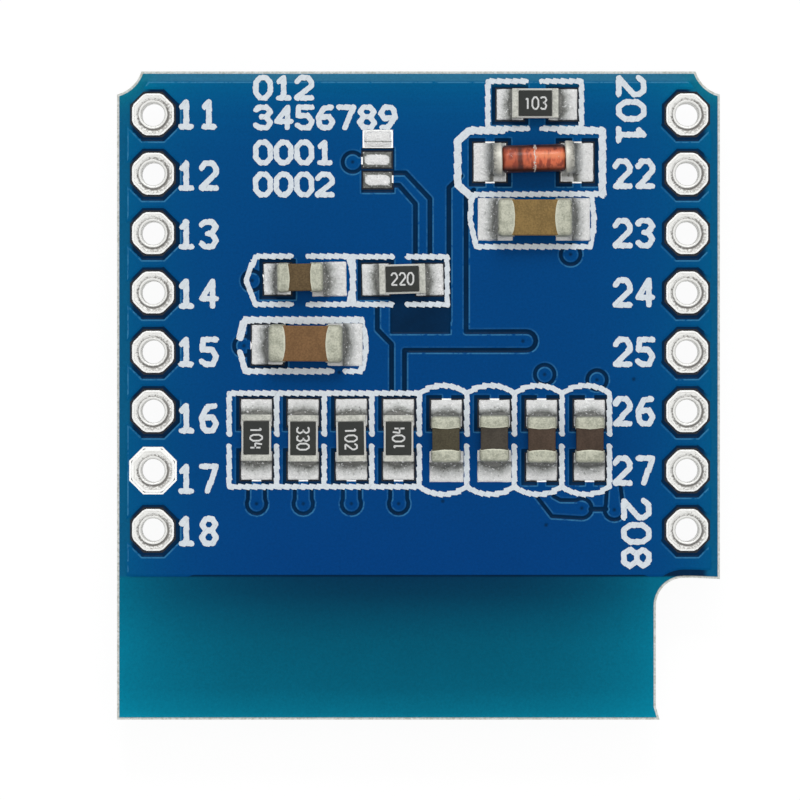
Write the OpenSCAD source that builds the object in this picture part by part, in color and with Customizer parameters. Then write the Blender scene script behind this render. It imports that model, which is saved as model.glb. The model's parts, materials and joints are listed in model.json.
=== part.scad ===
// Small OLED display module: a two-layer add-on board that carries chip parts
// on its rear and a folded-flex display on its front.
// The rear looks up (+Z). The module rests on the display's polariser at z = 0.
// Part positions are given from the centre of the two header rows.

/* [Board] */
// Width of the board across the two header rows
board_w = 25.8; // [25.6:0.1:26.2]
// Height of the board along the header rows
board_h = 27.74; // [27.6:0.02:28]
// Thickness of the bare laminate
core_t = 1.48; // [0.8:0.04:1.6]
// Sideways offset of the header grid from the board's centre
grid_x = 0.07; // [0:0.01:0.1]
// Bare laminate rim between the board's edge and the solder mask
rim = 0.1; // [0.05:0.01:0.15]
// Right edge of the lower strip, from the header grid's centre
strip_right = 10.09; // [9.9:0.01:10.2]
// Top edge of the notch beside the strip
notch_top = -7.8; // [-8:0.05:-7.7]
// Radius left in the notch's corner by the router
notch_r = 1.2; // [0.8:0.1:1.4]

/* [Header holes] */
// Pitch of the holes
pitch = 2.54; // [2.54]
// Holes in each row
holes = 8; // [8]
// Distance between the two rows
row_gap = 22.86; // [22.86]
// Height of the first hole above the board's centre
first_y = 12.03; // [11.9:0.01:12.1]
// Finished hole diameter
hole_d = 1; // [0.9:0.05:1.1]
// Thickness of the copper and tin on the hole's wall
plating_t = 0.05; // [0.03:0.01:0.08]
// Width of the octagonal land across its flats
land_w = 1.8; // [1.6:0.05:1.9]

/* [Copper and mask] */
// Thickness of one copper layer
copper_t = 0.035; // [0.035:0.005:0.07]
// Thickness of the solder mask
mask_t = 0.03; // [0.02:0.005:0.04]
// Width of the gap that isolates a trace or a pad
moat = 0.2; // [0.16:0.01:0.24]
// Width of the gap round a header land
land_moat = 0.25; // [0.2:0.01:0.3]
// Width of the ground hole's land, which has no gap round it
ground_land_w = 1.88; // [1.8:0.02:1.9]
// Margin between the mask's edge and the copper pour
pour_margin = 0.33; // [0.25:0.01:0.4]
// Lower edge of the copper pour
pour_bottom = -7.67; // [-7.7:0.01:-7.5]
// Mask opening beyond a pad
opening = 0.08; // [0.05:0.01:0.1]

/* [Silkscreen] */
// Thickness of the ink
ink_t = 0.03; // [0.02:0.005:0.04]
// Width of an outline
ink_w = 0.24; // [0.2:0.01:0.28]
// Width of a digit's stroke
digit_stroke = 0.25; // [0.2:0.01:0.28]
// Height of a pin number
digit_h = 1.06; // [0.9:0.02:1.1]
// Width of a pin number's digit
digit_w = 0.62; // [0.5:0.02:0.66]

/* [Chip parts] */
// Length and width of the small chips
small_l = 1.98; // [1.9:0.02:2.05]
small_w = 1.26; // [1.2:0.02:1.3]
// Length and width of the large chips
large_l = 3.18; // [3.1:0.02:3.25]
large_w = 1.62; // [1.55:0.01:1.65]
// Thickness of a resistor's ceramic
resistor_h = 0.45; // [0.4:0.05:0.5]
// Height of a small capacitor
small_cap_h = 0.85; // [0.6:0.05:1]
// Height of a large capacitor
large_cap_h = 1.15; // [0.9:0.05:1.3]
// Thickness of a termination
term_t = 0.05; // [0.03:0.01:0.06]
// Solder film under a termination
film_t = 0.04; // [0.03:0.01:0.05]

/* [Diode] */
// Length over the end caps
diode_l = 3.5; // [3.4:0.05:3.6]
// Diameter of the end caps
diode_cap_d = 1.4; // [1.35:0.05:1.5]
// Outer diameter of the glass sleeve
diode_glass_d = 1.2; // [1.1:0.05:1.25]
// Diameter of the studs inside
stud_d = 0.8; // [0.7:0.05:0.85]
// Length of an end cap
diode_cap_l = 0.4; // [0.35:0.05:0.45]

/* [Display] */
// Width of the base glass
glass_w = 18.46; // [18.3:0.02:18.6]
// Height of the base glass
glass_h = 18.1; // [18:0.05:18.2]
// Centre of the base glass above or below the board's centre
glass_y = -3.2; // [-3.4:0.1:-3]
// Thickness of the base glass
glass_t = 0.5; // [0.5:0.05:0.7]
// Thickness of the cap glass
cap_t = 0.46; // [0.46:0.02:0.5]
// Depth of the ledge that the cap glass leaves free
ledge = 2.1; // [2:0.05:2.2]
// Thickness of the polariser
polariser_t = 0.2; // [0.15:0.01:0.22]
// Width and height of the lit area
lit_w = 13.42; // [13:0.02:14]
lit_h = 10.06; // [9.8:0.02:10.4]
// Thickness of the foam tape
foam_t = 0.6; // [0.5:0.05:0.8]
// Thickness of the flex tail
flex_t = 0.1; // [0.08:0.01:0.12]

/* [Hidden] */
$fn = 48;
eps = 0.01;
half_w = board_w / 2;
half_h = board_h / 2;
ground_hole = 6;

// Levels of the stack, from the polariser's face upwards
base_z = polariser_t;
films_z = base_z + glass_t;
film_stack_t = 0.03;
seal_t = 0.04;
cap_z = films_z + seal_t;
foam_z = cap_z + cap_t;
front_z = foam_z + foam_t;
core_z = front_z + mask_t + copper_t;
core_top = core_z + core_t;
copper_top = core_top + copper_t;
mask_top = copper_top + mask_t;
seat_z = copper_top + film_t;
land_t = copper_t + mask_t + 0.015;

// Corner cuts at the top and the flare at the foot of the strip
corner_r = 1.47;
corner_at = [half_w + 0.36, half_h + 0.44];
flare_w = 0.16;
flare_h = 0.6;
notch_drop = 0.1;

// Mask wall left beside a copper edge, and the isolation ring of a via
mask_wall = 0.04;
via_r = 0.42;
ring_w = 0.16;

// Chip footprints: pad centre x, y, turn, then the body's shift along and
// across the pads and its skew, as the placing machine left it
RESISTORS = [
  [5.00, 12.45, 0, -0.08, 0.04, 0], [-0.74, 4.96, 0, -0.02, 0.02, 1.5],
  [-7.00, -1.88, 90, 0.08, 0, 0], [-5.00, -1.88, 90, 0.05, 0, 0],
  [-2.94, -1.88, 90, 0.05, 0.01, 1], [-0.92, -1.88, 90, 0.05, 0, 0]];
CAPACITORS = [
  [4.87, 7.54, 0, 0.03, 0.06, 0], [-4.95, 4.98, 0, -0.18, 0.07, 1],
  [-4.86, 2.18, 0, -0.03, 0.04, -0.5], [1.13, -1.91, 90, 0.04, 0.03, 0],
  [3.18, -1.91, 90, 0.08, 0.01, 0], [5.20, -1.91, 90, 0.03, 0, 0],
  [7.25, -1.91, 90, 0.03, 0, 0]];
LARGE = [0, 2];
DIODE = [4.85, 9.98, 0, 0, 0.14, 0];

// Footprints: reach over both pads, width and length of a pad
small_reach = 3.42;
small_pad = [1.12, 1.3];
large_reach = 4.64;
large_pad = [1.3, 1.66];
diode_reach = 5.09;
diode_pad = [1.37, 1.63];

// Address jumper pads: x, y, width, height
JUMPERS = [[-1.81, 10.97, 1.14, 0.66], [-1.84, 10.09, 1.2, 0.64], [-1.82, 9.22, 1.2, 0.66]];
jumper_frame = [[-2.52, 8.68], [-1.1, 10.6]];
JUMPER_VIA = [-2.89, 9.99];
JUMPER_LINKS = [[[-2.89, 10.05], [-2.2, 10.05]], [[-1.5, 9.26], [-1, 9.26]]];
link_w = 0.32;

// Isolation lines, as centre lines in order from the top of the board
FREE_VIAS = [[6.44, 6.04], [5.33, 0.9], [7.57, 0.67], [-7.19, 4.92], [-7.54, 2.13]];
LOWER_VIAS = [[6.92, -4.82], [8.31, -4.89]];
row_via_y = -4.63;
TRACE_MOATS = [
  // Both sides of the trace from the lower jumper pad to the middle resistor
  [[-1.1, 9.53], [-0.62, 9.53], [0.42, 8.42], [0.42, 5.9]],
  [[-1.1, 9.0], [-0.9, 9.0], [-0.2, 8.2], [-0.2, 5.9]],
  // Both sides of the trace from the diode, and the long conductor's outer side
  [[1.75, 9.4], [1.23, 8.9], [1.23, 3.2]],
  concat([[2.3, 8.8], [1.97, 8.5], [1.97, 2.73]],
         arc_points([4.55, 2.34], 0.4, 90, -90, 8), [[-0.67, 1.94], [-0.67, 0]]),
  [[-1.83, 3.95], [-1.83, 2.83], [-1.22, 2.2], [-1.22, 0]],
  // Link between the two lower vias
  [[7.3, -4.86], [7.95, -4.86]]];
FINE_MOATS = [
  // Both sides of the trace that leaves the row for the first lower via
  concat([[4.9, -4.2], [5.64, -5.16]], arc_points(LOWER_VIAS[0], via_r, 262, 400, 8)),
  concat([[5.7, -4.3], [6.01, -4.47]], arc_points(LOWER_VIAS[0], via_r, 125, 40, 4)),
  concat([[8.0, -3.9]], arc_points(LOWER_VIAS[1], via_r, 150, 390, 10), [[8.58, -3.9]])];
// Field without copper under the middle resistor: corner, size
BARE_FIELD = [[-1.28, 2.64], [2.58, 1.9]];

function is_large(i) = len(search(i, LARGE)) > 0;
function hole_y(k) = first_y - pitch * k;
function polar(c, r, a) = [c[0] + r * cos(a), c[1] + r * sin(a)];
function arc_points(c, r, from, to, steps) =
  [for (i = [0:steps]) polar(c, r, from + (to - from) * i / steps)];

// ---- drawing helpers ----

// A line of a given width through a list of points, with square joints
module stroke(points, w) {
  for (i = [0:len(points) - 2]) {
    a = points[i];
    b = points[i + 1];
    run = norm(b - a);
    translate(a)
      rotate(atan2(b[1] - a[1], b[0] - a[0]))
        translate([-w / 2, -w / 2]) square([run + w, w]);
  }
}

// The same line with round joints and ends
module round_stroke(points, w) {
  hair = 0.01;
  offset(r = (w - hair) / 2, $fn = 8) stroke(points, hair);
}

module ring(at, r, w) {
  translate(at) difference() {
    circle(r = r + w / 2, $fn = 28);
    circle(r = r - w / 2, $fn = 28);
  }
}

module frame_2d(w, h, wall) {
  difference() {
    square([w + 2 * wall, h + 2 * wall], center = true);
    square([w, h], center = true);
  }
}

module octagon(across) {
  rotate(22.5) circle(d = across / cos(22.5), $fn = 8);
}

// Joins overlapping outlines into one clean region
module merged() {
  offset(delta = 0.0005) children();
}

module on_grid() {
  translate([grid_x, 0, 0]) children();
}

module at_holes() {
  for (side = [-1, 1], k = [0:holes - 1])
    translate([side * row_gap / 2, hole_y(k)]) children();
}

module at_ground() {
  translate([-row_gap / 2, hole_y(ground_hole)]) children();
}

// The drilled holes as they are before plating
module drills(h) {
  at_holes() cylinder(d = hole_d + 2 * plating_t, h = h);
}

// The octagonal lands of all header holes
module lands_2d(grow = 0) {
  at_holes() octagon(land_w + 2 * grow);
  at_ground() octagon(ground_land_w + 2 * grow);
}

module at_part(part) {
  translate([part[0], part[1]]) rotate(part[2]) children();
}

module at_body(part) {
  at_part(part) translate([part[3], part[4]]) rotate(part[5]) children();
}

module pad_pair(reach, pad, grow = 0) {
  for (s = [-1, 1])
    translate([s * (reach - pad[0]) / 2, 0])
      square([pad[0] + 2 * grow, pad[1] + 2 * grow], center = true);
}

// Every soldered pad of the chips, the diode and the jumpers
module all_pads(grow = 0) {
  for (r = RESISTORS) at_part(r) pad_pair(small_reach, small_pad, grow);
  for (i = [0:len(CAPACITORS) - 1])
    at_part(CAPACITORS[i])
      if (is_large(i)) pad_pair(large_reach, large_pad, grow);
      else pad_pair(small_reach, small_pad, grow);
  at_part(DIODE) pad_pair(diode_reach, diode_pad, grow);
  for (j = JUMPERS)
    translate([j[0], j[1]]) square([j[2] + 2 * grow, j[3] + 2 * grow], center = true);
}

// ---- board outline ----

module notch_2d() {
  foot = -half_h - 1;
  difference() {
    polygon([[strip_right, foot], [half_w + 1, foot],
             [half_w + 1, notch_top - notch_drop], [strip_right + notch_r + 0.4, notch_top],
             [strip_right, notch_top]]);
    translate([strip_right - eps, notch_top - notch_r]) difference() {
      square([notch_r + eps, notch_r + eps]);
      translate([notch_r + eps, 0]) circle(r = notch_r);
    }
    polygon([[strip_right - eps, foot], [strip_right + flare_w * 1.7, foot],
             [strip_right + flare_w, -half_h], [strip_right - eps, -half_h + flare_h]]);
  }
}

module outline_2d() {
  difference() {
    square([board_w, board_h], center = true);
    translate([grid_x, 0]) notch_2d();
    for (s = [-1, 1]) translate([s * corner_at[0], corner_at[1]]) circle(r = corner_r);
  }
}

// ---- rear copper artwork ----

// Isolation lines beside the traces
module trace_moats() {
  for (path = TRACE_MOATS) round_stroke(path, moat);
  for (path = FINE_MOATS) round_stroke(path, ring_w);
  translate(BARE_FIELD[0]) square(BARE_FIELD[1]);
}

// Isolation rings of the free vias, and loops round those below the row
module via_moats() {
  neck = 0.36;
  for (v = FREE_VIAS) ring(v, via_r, ring_w);
  for (r = [2:5]) {
    at = [RESISTORS[r][0], row_via_y];
    round_stroke(concat([at + [-neck, 1.1]], arc_points(at, via_r, 150, 390, 10),
                        [at + [neck, 1.1]]), ring_w);
  }
}

// Isolation round the jumper pads, with the via beside the middle one
module jumper_moats() {
  corner = jumper_frame[0];
  difference() {
    union() {
      translate(corner) square(jumper_frame[1] - corner);
      translate(JUMPER_VIA) circle(r = via_r + ring_w / 2);
    }
    translate(JUMPER_VIA) circle(r = via_r - ring_w / 2);
    for (link = JUMPER_LINKS) stroke(link, link_w);
    for (j = [1:2])
      translate([JUMPERS[j][0], JUMPERS[j][1]])
        square([JUMPERS[j][2], JUMPERS[j][3]], center = true);
  }
}

// Isolation frames of the chip pads; a pad on the pour has none
module pad_moats() {
  gap = 0.22;
  spoke = 0.4;
  for (r = RESISTORS) difference() {
    at_part(r) difference() {
      pad_pair(small_reach, small_pad, gap);
      pad_pair(small_reach, small_pad, 0);
    }
    translate([r[0] - spoke / 2, -4.6]) square([spoke, 1.4]);
  }
  for (i = [1, 3, 4, 5, 6]) difference() {
    at_part(CAPACITORS[i])
      difference() {
        pad_pair(small_reach, small_pad, gap);
        pad_pair(small_reach, small_pad, 0);
        if (i == 3 || i == 4) translate([-3, -2]) square([3, 4]);
        if (i == 1) translate([0, -2]) square([3, 4]);
      }
    at_part(CAPACITORS[i]) square([5, spoke], center = true);
  }
  at_part(CAPACITORS[2]) difference() {
    translate([-(large_reach - large_pad[0]) / 2, 0]) frame_2d(large_pad[0], large_pad[1], gap);
    square([6, spoke], center = true);
  }
  at_part(DIODE) for (s = [-1, 1]) difference() {
    translate([s * (diode_reach - diode_pad[0]) / 2, 0]) frame_2d(diode_pad[0], diode_pad[1], gap);
    translate([s * (diode_reach - diode_pad[0]) / 2, 0]) square([spoke, 4], center = true);
  }
}

module header_moats() {
  difference() {
    at_holes() octagon(land_w + 2 * land_moat);
    at_ground() octagon(land_w + 2 * land_moat + eps);
  }
  at_ground() octagon(ground_land_w);
}

module pour_2d() {
  inset = rim + pour_margin;
  intersection() {
    offset(delta = -inset) outline_2d();
    translate([-board_w, pour_bottom]) square([2 * board_w, board_h]);
  }
}

module rear_copper_2d() {
  merged() difference() {
    pour_2d();
    translate([grid_x, 0]) {
      difference() {
        union() {
          trace_moats();
          via_moats();
          pad_moats();
        }
        all_pads();
      }
      jumper_moats();
      header_moats();
    }
  }
}

module front_copper_2d() {
  merged() difference() {
    pour_2d();
    translate([grid_x, 0]) {
      header_moats();
      flex_field_2d(moat);
    }
  }
  translate([grid_x, 0]) flex_pads_2d();
}

// ---- board nodes ----

module board_core() {
  color("#c9c3a0") translate([0, 0, core_z]) difference() {
    linear_extrude(core_t) outline_2d();
    on_grid() translate([0, 0, -1]) drills(core_t + 2);
  }
}

module rear_copper() {
  color("#b87333") translate([0, 0, core_top]) linear_extrude(copper_t) rear_copper_2d();
}

module front_copper() {
  color("#b87333") translate([0, 0, core_z - copper_t]) linear_extrude(copper_t) front_copper_2d();
}

// A mask that fills the moats and climbs over the copper
module mask_film() {
  module area() { offset(delta = -rim) outline_2d(); }
  linear_extrude(mask_t) merged() difference() {
    area();
    children(0);
    children(1);
  }
  linear_extrude(copper_t + mask_t) merged() difference() {
    intersection() {
      area();
      offset(delta = mask_wall) children(0);
    }
    children(0);
    children(1);
  }
  translate([0, 0, copper_t]) linear_extrude(mask_t) merged() difference() {
    intersection() {
      area();
      offset(delta = mask_wall) children(0);
    }
    children(1);
  }
}

module rear_openings_2d() {
  translate([grid_x, 0]) {
    lands_2d(opening);
    all_pads(opening);
  }
}

module front_openings_2d() {
  translate([grid_x, 0]) {
    lands_2d(opening);
    flex_field_2d(0);
  }
}

module rear_solder_mask() {
  color("#0a4f8f") translate([0, 0, core_top]) mask_film() {
    rear_copper_2d();
    rear_openings_2d();
  }
}

module front_solder_mask() {
  color("#0a4f8f") translate([0, 0, core_z]) mirror([0, 0, 1]) mask_film() {
    front_copper_2d();
    front_openings_2d();
  }
}

// Barrels with an octagonal land on each face
module barrels_and_lands() {
  color("#dcdcd6") on_grid() difference() {
    union() {
      translate([0, 0, core_z]) drills(core_t);
      for (z = [core_top, core_z - land_t]) translate([0, 0, z]) linear_extrude(land_t) lands_2d();
    }
    at_holes() translate([0, 0, core_z - 1]) cylinder(d = hole_d, h = core_t + 2);
  }
}

// Tin on the three address jumper pads, domed by the levelling
module jumper_pads() {
  steps = 6;
  rise = 0.1;
  color("#e4e2dc") on_grid() translate([0, 0, copper_top]) for (j = JUMPERS)
    translate([j[0], j[1], 0]) rotate([90, 0, 90]) linear_extrude(j[2], center = true)
      polygon(concat([[-j[3] / 2, 0], [j[3] / 2, 0]],
        [for (i = [0:steps]) [j[3] * (0.5 - i / steps), 0.03 + rise * sin(180 * i / steps)]]));
}

// ---- silkscreen ----

// Stroke paths of the ten digits on a unit square
DIGITS = [
  [[[0.3, 0], [0.7, 0], [1, 0.25], [1, 0.75], [0.7, 1], [0.3, 1], [0, 0.75], [0, 0.25], [0.3, 0]]],
  [[[0.2, 0.8], [0.5, 1], [0.5, 0]], [[0.15, 0], [0.85, 0]]],
  [[[0, 0.8], [0.25, 1], [0.75, 1], [1, 0.78], [1, 0.6], [0, 0], [1, 0]]],
  [[[0, 0.88], [0.25, 1], [0.75, 1], [1, 0.78], [0.7, 0.53], [0.4, 0.53]],
   [[0.7, 0.53], [1, 0.25], [0.75, 0], [0.25, 0], [0, 0.12]]],
  [[[0.75, 0], [0.75, 1], [0, 0.3], [1, 0.3]]],
  [[[1, 1], [0.1, 1], [0.05, 0.58], [0.7, 0.6], [1, 0.32], [0.75, 0], [0.25, 0], [0, 0.12]]],
  [[[0.9, 1], [0.4, 0.95], [0, 0.5], [0.1, 0.12], [0.3, 0], [0.75, 0], [1, 0.28], [0.75, 0.55],
    [0.1, 0.5]]],
  [[[0, 1], [1, 1], [0.4, 0]]],
  [[[0.3, 0.53], [0.03, 0.77], [0.28, 1], [0.72, 1], [0.97, 0.77], [0.7, 0.53], [0.3, 0.53],
    [0, 0.25], [0.25, 0], [0.75, 0], [1, 0.25], [0.7, 0.53]]],
  [[[0.1, 0], [0.6, 0.05], [1, 0.5], [0.9, 0.88], [0.7, 1], [0.25, 1], [0, 0.72], [0.25, 0.45],
    [0.9, 0.5]]]];

// A row of digits, centred on its place
module number(values, w, h, advance, line) {
  start = -(advance * (len(values) - 1) + w) / 2;
  for (i = [0:len(values) - 1])
    translate([start + advance * i, -h / 2])
      for (path = DIGITS[values[i]]) round_stroke([for (p = path) [p[0] * w, p[1] * h]], line);
}

// Pin numbers 11 to 18 beside the left row and 21 to 28 beside the right row
module pin_numbers_2d() {
  advance = digit_w + digit_stroke + 0.1;
  drop = [0, 0.08, 0.05, 0.05, 0, 0.3, 0.35, 0.05];
  for (k = [0:holes - 1])
    translate([-9.52, hole_y(k) - drop[k]])
      number([1, k + 1], digit_w, digit_h, advance, digit_stroke);
  for (k = [1:holes - 2])
    translate([9.15, hole_y(k)]) number([2, k + 1], digit_w, digit_h, advance, digit_stroke);
  for (end = [[9.03, 12.2, 1], [9.25, -5.9, 8]])
    translate([end[0], end[1]]) rotate(-90)
      number([2, 0, end[2]], 0.72, digit_h, 1.04, digit_stroke);
}

// Four lines of plain numbers beside the jumpers
module heading_2d() {
  lines = [[13.17, [0, 1, 2], 0.88], [11.9, [3, 4, 5, 6, 7, 8, 9], 0.89],
           [10.4, [0, 0, 0, 1], 0.88], [9.03, [0, 0, 0, 2], 0.88]];
  w = 0.62;
  for (row = lines)
    translate([-7.15 + 0.12 + (row[2] * (len(row[1]) - 1) + w) / 2, row[0]])
      number(row[1], w, 0.87, row[2], 0.24);
}

// Outline of the row of small parts: straight cells, then arched cells
module row_outline_2d() {
  step = 2.034;
  left = -8.17;
  top = 0.1;
  foot = -3.9;
  gap = [-1.64, -2.17];
  arch = 0.33;
  arch_r = step * step / (8 * arch) + arch / 2;
  half_angle = asin(step / 2 / arch_r);
  for (i = [0:8]) {
    x = left + step * i;
    round_stroke([[x, top], [x, gap[0]]], ink_w);
    round_stroke([[x, gap[1]], [x, foot]], ink_w);
  }
  round_stroke([[left, top], [left + 4 * step, top]], ink_w);
  round_stroke([[left, foot], [left + 4 * step, foot]], ink_w);
  for (i = [4:7]) {
    x = left + step * (i + 0.5);
    round_stroke(arc_points([x, top + arch - arch_r], arch_r, 90 + half_angle, 90 - half_angle, 8), ink_w);
    round_stroke(arc_points([x, foot - arch + arch_r], arch_r, half_angle - 90, -90 - half_angle, 8),
           ink_w);
  }
}

module part_outlines_2d() {
  bold = 0.33;
  // Upper resistor
  round_stroke([[4.6, 11.42], [2.9, 11.42], [2.9, 13.45], [4.55, 13.45]], ink_w);
  round_stroke([[5.2, 13.45], [6.9, 13.45], [6.9, 11.42], [5.2, 11.42]], ink_w);
  // Diode, with its cathode corners cut
  round_stroke([[3.5, 11.34], [2.1, 11.34], [1.61, 10.85], [1.61, 9.02], [2.2, 8.5]], bold);
  round_stroke([[6, 11.34], [7.8, 11.34], [7.8, 8.6]], bold);
  round_stroke([[2.2, 8.6], [7.8, 8.63]], ink_w);
  // Large upper capacitor
  round_stroke([[2.2, 8.5], [2.14, 7.5], [2.4, 6.37], [7.26, 6.37], [7.4, 6.95], [7.45, 7.6],
                [7.33, 8.5]], ink_w);
  // Small upper capacitor
  round_stroke([[-5.5, 5.96], [-7.05, 5.96], [-7.45, 4.93], [-7.05, 3.9], [-5.5, 3.9]], ink_w);
  round_stroke([[-4.8, 5.96], [-3.06, 5.96], [-2.92, 5.4], [-2.88, 4.93], [-2.92, 4.45],
                [-3.06, 3.9], [-4.8, 3.9]], ink_w);
  // Middle resistor
  round_stroke([[-1.2, 5.94], [-2.86, 5.94], [-2.86, 3.9], [-1.2, 3.9]], ink_w);
  round_stroke([[-0.54, 5.94], [1.15, 5.94], [1.15, 3.9], [-0.54, 3.9]], ink_w);
  // Large left capacitor
  round_stroke([[-7.72, 2.5], [-7.5, 3.22], [-2.52, 3.22]], bold);
  round_stroke([[-2.52, 3.2], [-2.36, 2.66], [-2.31, 2.14], [-2.36, 1.6], [-2.52, 1.04],
                [-3.2, 1.04]], ink_w);
  round_stroke([[-3.78, 1.04], [-7.48, 1.04], [-7.7, 1.85]], 0.27);
}

module rear_silkscreen() {
  color("#e6ecf2") translate([0, 0, mask_top]) linear_extrude(ink_t) merged() difference() {
    translate([grid_x, 0]) {
      pin_numbers_2d();
      heading_2d();
      row_outline_2d();
      part_outlines_2d();
    }
    rear_openings_2d();
  }
}

// Corner marks round the display and a dot at the first pin
module front_silkscreen() {
  arm = 1.6;
  side = glass_w / 2 + 0.45;
  foot = glass_y - glass_h / 2 - 0.45;
  head = glass_y + glass_h / 2 + 1.5;
  color("#e6ecf2") translate([0, 0, front_z - ink_t]) linear_extrude(ink_t) merged() {
    for (s = [-1, 1]) {
      stroke([[s * side, foot + arm], [s * side, foot], [s * (side - arm), foot]], ink_w);
      stroke([[s * side, head - arm], [s * side, head], [s * (side - arm), head]], ink_w);
    }
    translate([9.55, first_y]) circle(d = 0.8, $fn = 16);
  }
}

// ---- chip parts ----

// Fillets at both ends of a body: flat at the pad's edge, steep at the body.
// They fill the pads, and leave a skewed body a little room to turn
module fillets(part, body_l, reach, pad, climb, seat) {
  steps = 6;
  foot = 0.07;
  room = part[5] == 0 ? 0 : 0.02;
  at_part(part) for (s = [-1, 1]) {
    outer = reach / 2;
    face = body_l / 2 + s * part[3] + room;
    inner = max(face - seat, outer - pad[0]);
    run = outer - face;
    mirror([s < 0 ? 1 : 0, 0, 0])
      rotate([90, 0, 0]) linear_extrude(pad[1], center = true)
        polygon(concat([[outer, 0], [inner, 0], [inner, film_t], [face, film_t]],
          [for (i = [0:steps])
            [face + run * i / steps, foot + (climb - foot) * pow(1 - i / steps, 2)]]));
  }
}

module resistor_solder() {
  color("#d5d4cf") on_grid() translate([0, 0, copper_top])
    for (r = RESISTORS) fillets(r, small_l, small_reach, small_pad, 0.34, 0.25);
}

module capacitor_solder() {
  color("#d5d4cf") on_grid() translate([0, 0, copper_top])
    for (i = [0:len(CAPACITORS) - 1])
      if (is_large(i))
        fillets(CAPACITORS[i], large_l, large_reach, large_pad, 0.62, 0.5);
      else
        fillets(CAPACITORS[i], small_l, small_reach, small_pad, 0.5, 0.4);
}

module resistor_ceramic(r) {
  color("#e8e4da") on_grid() at_body(r) translate([0, 0, seat_z + term_t + resistor_h / 2])
    cube([small_l - 2 * term_t, small_w, resistor_h], center = true);
}

module resistor_coat(r) {
  coat = [1.42, 1.1, 0.07];
  color("#2e2f31") on_grid() at_body(r)
    translate([0, 0, seat_z + term_t + resistor_h + coat[2] / 2]) cube(coat, center = true);
}

// Terminations that wrap over the top, the end and the underside
module resistor_ends(r) {
  band = 0.26;
  total_h = resistor_h + 2 * term_t;
  color("#c9c8c0") on_grid() at_body(r) translate([0, 0, seat_z + total_h / 2])
    for (s = [-1, 1]) difference() {
      translate([s * (small_l - band) / 2, 0, 0]) cube([band, small_w, total_h], center = true);
      cube([small_l - 2 * term_t, small_w + 1, resistor_h], center = true);
    }
}

function cap_size(i) = is_large(i) ? [large_l, large_w, large_cap_h] : [small_l, small_w, small_cap_h];

module capacitor_block(i) {
  size = cap_size(i);
  inset = [2 * term_t, 2 * term_t, 2 * term_t];
  tone = is_large(i) ? "#8a6a45" : "#6b5240";
  color(tone) on_grid() at_body(CAPACITORS[i]) translate([0, 0, seat_z + size[2] / 2])
    cube(size - inset, center = true);
}

// Caps that cover five faces of each end
module capacitor_ends(i) {
  size = cap_size(i);
  inset = [2 * term_t, 2 * term_t, 2 * term_t];
  band = is_large(i) ? 0.7 : 0.5;
  color("#cfcbb8") on_grid() at_body(CAPACITORS[i]) translate([0, 0, seat_z + size[2] / 2])
    for (s = [-1, 1]) difference() {
      translate([s * (size[0] - band) / 2, 0, 0]) cube([band, size[1], size[2]], center = true);
      cube(size - inset, center = true);
    }
}

// ---- diode ----

module along_diode(length) {
  translate([-length / 2, 0, 0]) rotate([0, 90, 0]) children();
}

module at_diode() {
  on_grid() at_body(DIODE) translate([0, 0, seat_z + diode_cap_d / 2]) children();
}

sleeve_l = diode_l - 2 * diode_cap_l;
die_t = 0.16;

module diode_glass() {
  color("#d9623f", 0.6) at_diode() along_diode(sleeve_l) difference() {
    cylinder(d = diode_glass_d, h = sleeve_l);
    translate([0, 0, -1]) cylinder(d = stud_d, h = sleeve_l + 2);
  }
}

module diode_end_caps() {
  color("#c8c4b4") at_diode() for (s = [-1, 1])
    translate([s * (diode_l - diode_cap_l) / 2, 0, 0])
      along_diode(diode_cap_l) cylinder(d = diode_cap_d, h = diode_cap_l);
}

module diode_studs() {
  stud_l = (sleeve_l - die_t) / 2;
  color("#b5482a") at_diode() for (s = [-1, 1])
    translate([s * (sleeve_l - stud_l) / 2, 0, 0])
      along_diode(stud_l) cylinder(d = stud_d, h = stud_l);
}

module diode_die() {
  color("#9a9a98") at_diode() along_diode(die_t) cylinder(d = stud_d * 0.7, h = die_t);
}

// Solder under and beside the end caps, cut round by them
module diode_solder() {
  height = 0.5;
  color("#d5d4cf") difference() {
    on_grid() at_part(DIODE) translate([0, 0, copper_top])
      fillets([0, 0, 0, 0, 0, 0], diode_l - 0.1, diode_reach, diode_pad, height, 0.2);
    at_diode() along_diode(diode_l + 0.01)
      cylinder(d = diode_cap_d, h = diode_l + 0.01);
  }
}

// ---- display ----

head_y = glass_y + glass_h / 2;
foot_y = glass_y - glass_h / 2;
cap_h = glass_h - ledge - 0.1;
cap_y = foot_y + 0.1 + cap_h / 2;
cap_w = glass_w - 0.4;

module slab(w, h, t, y, z) {
  translate([grid_x, y, z + t / 2]) cube([w, h, t], center = true);
}

module polariser() {
  color("#1b1d22") slab(glass_w - 0.8, cap_h - 0.4, polariser_t, cap_y, 0);
}

module base_glass() {
  color("#9fb6b8", 0.5) slab(glass_w, glass_h, glass_t, glass_y, base_z);
}

// Electrode lines and the emitting films between them
module emitting_films() {
  color("#2b3350") slab(lit_w + 1, lit_h + 1, film_stack_t, cap_y, films_z);
}

module edge_seal() {
  wall = 0.8;
  color("#6d675c") difference() {
    slab(cap_w - 0.2, cap_h - 0.2, seal_t, cap_y, films_z);
    slab(cap_w - 0.2 - 2 * wall, cap_h - 0.2 - 2 * wall, seal_t + 1, cap_y, films_z - 0.5);
  }
}

pocket_t = 0.22;

module cap_glass() {
  color("#a9bcbd", 0.5) difference() {
    slab(cap_w, cap_h, cap_t, cap_y, cap_z);
    slab(lit_w + 1.6, lit_h + 1.6, pocket_t + 1, cap_y, cap_z - 1);
  }
}

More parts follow.
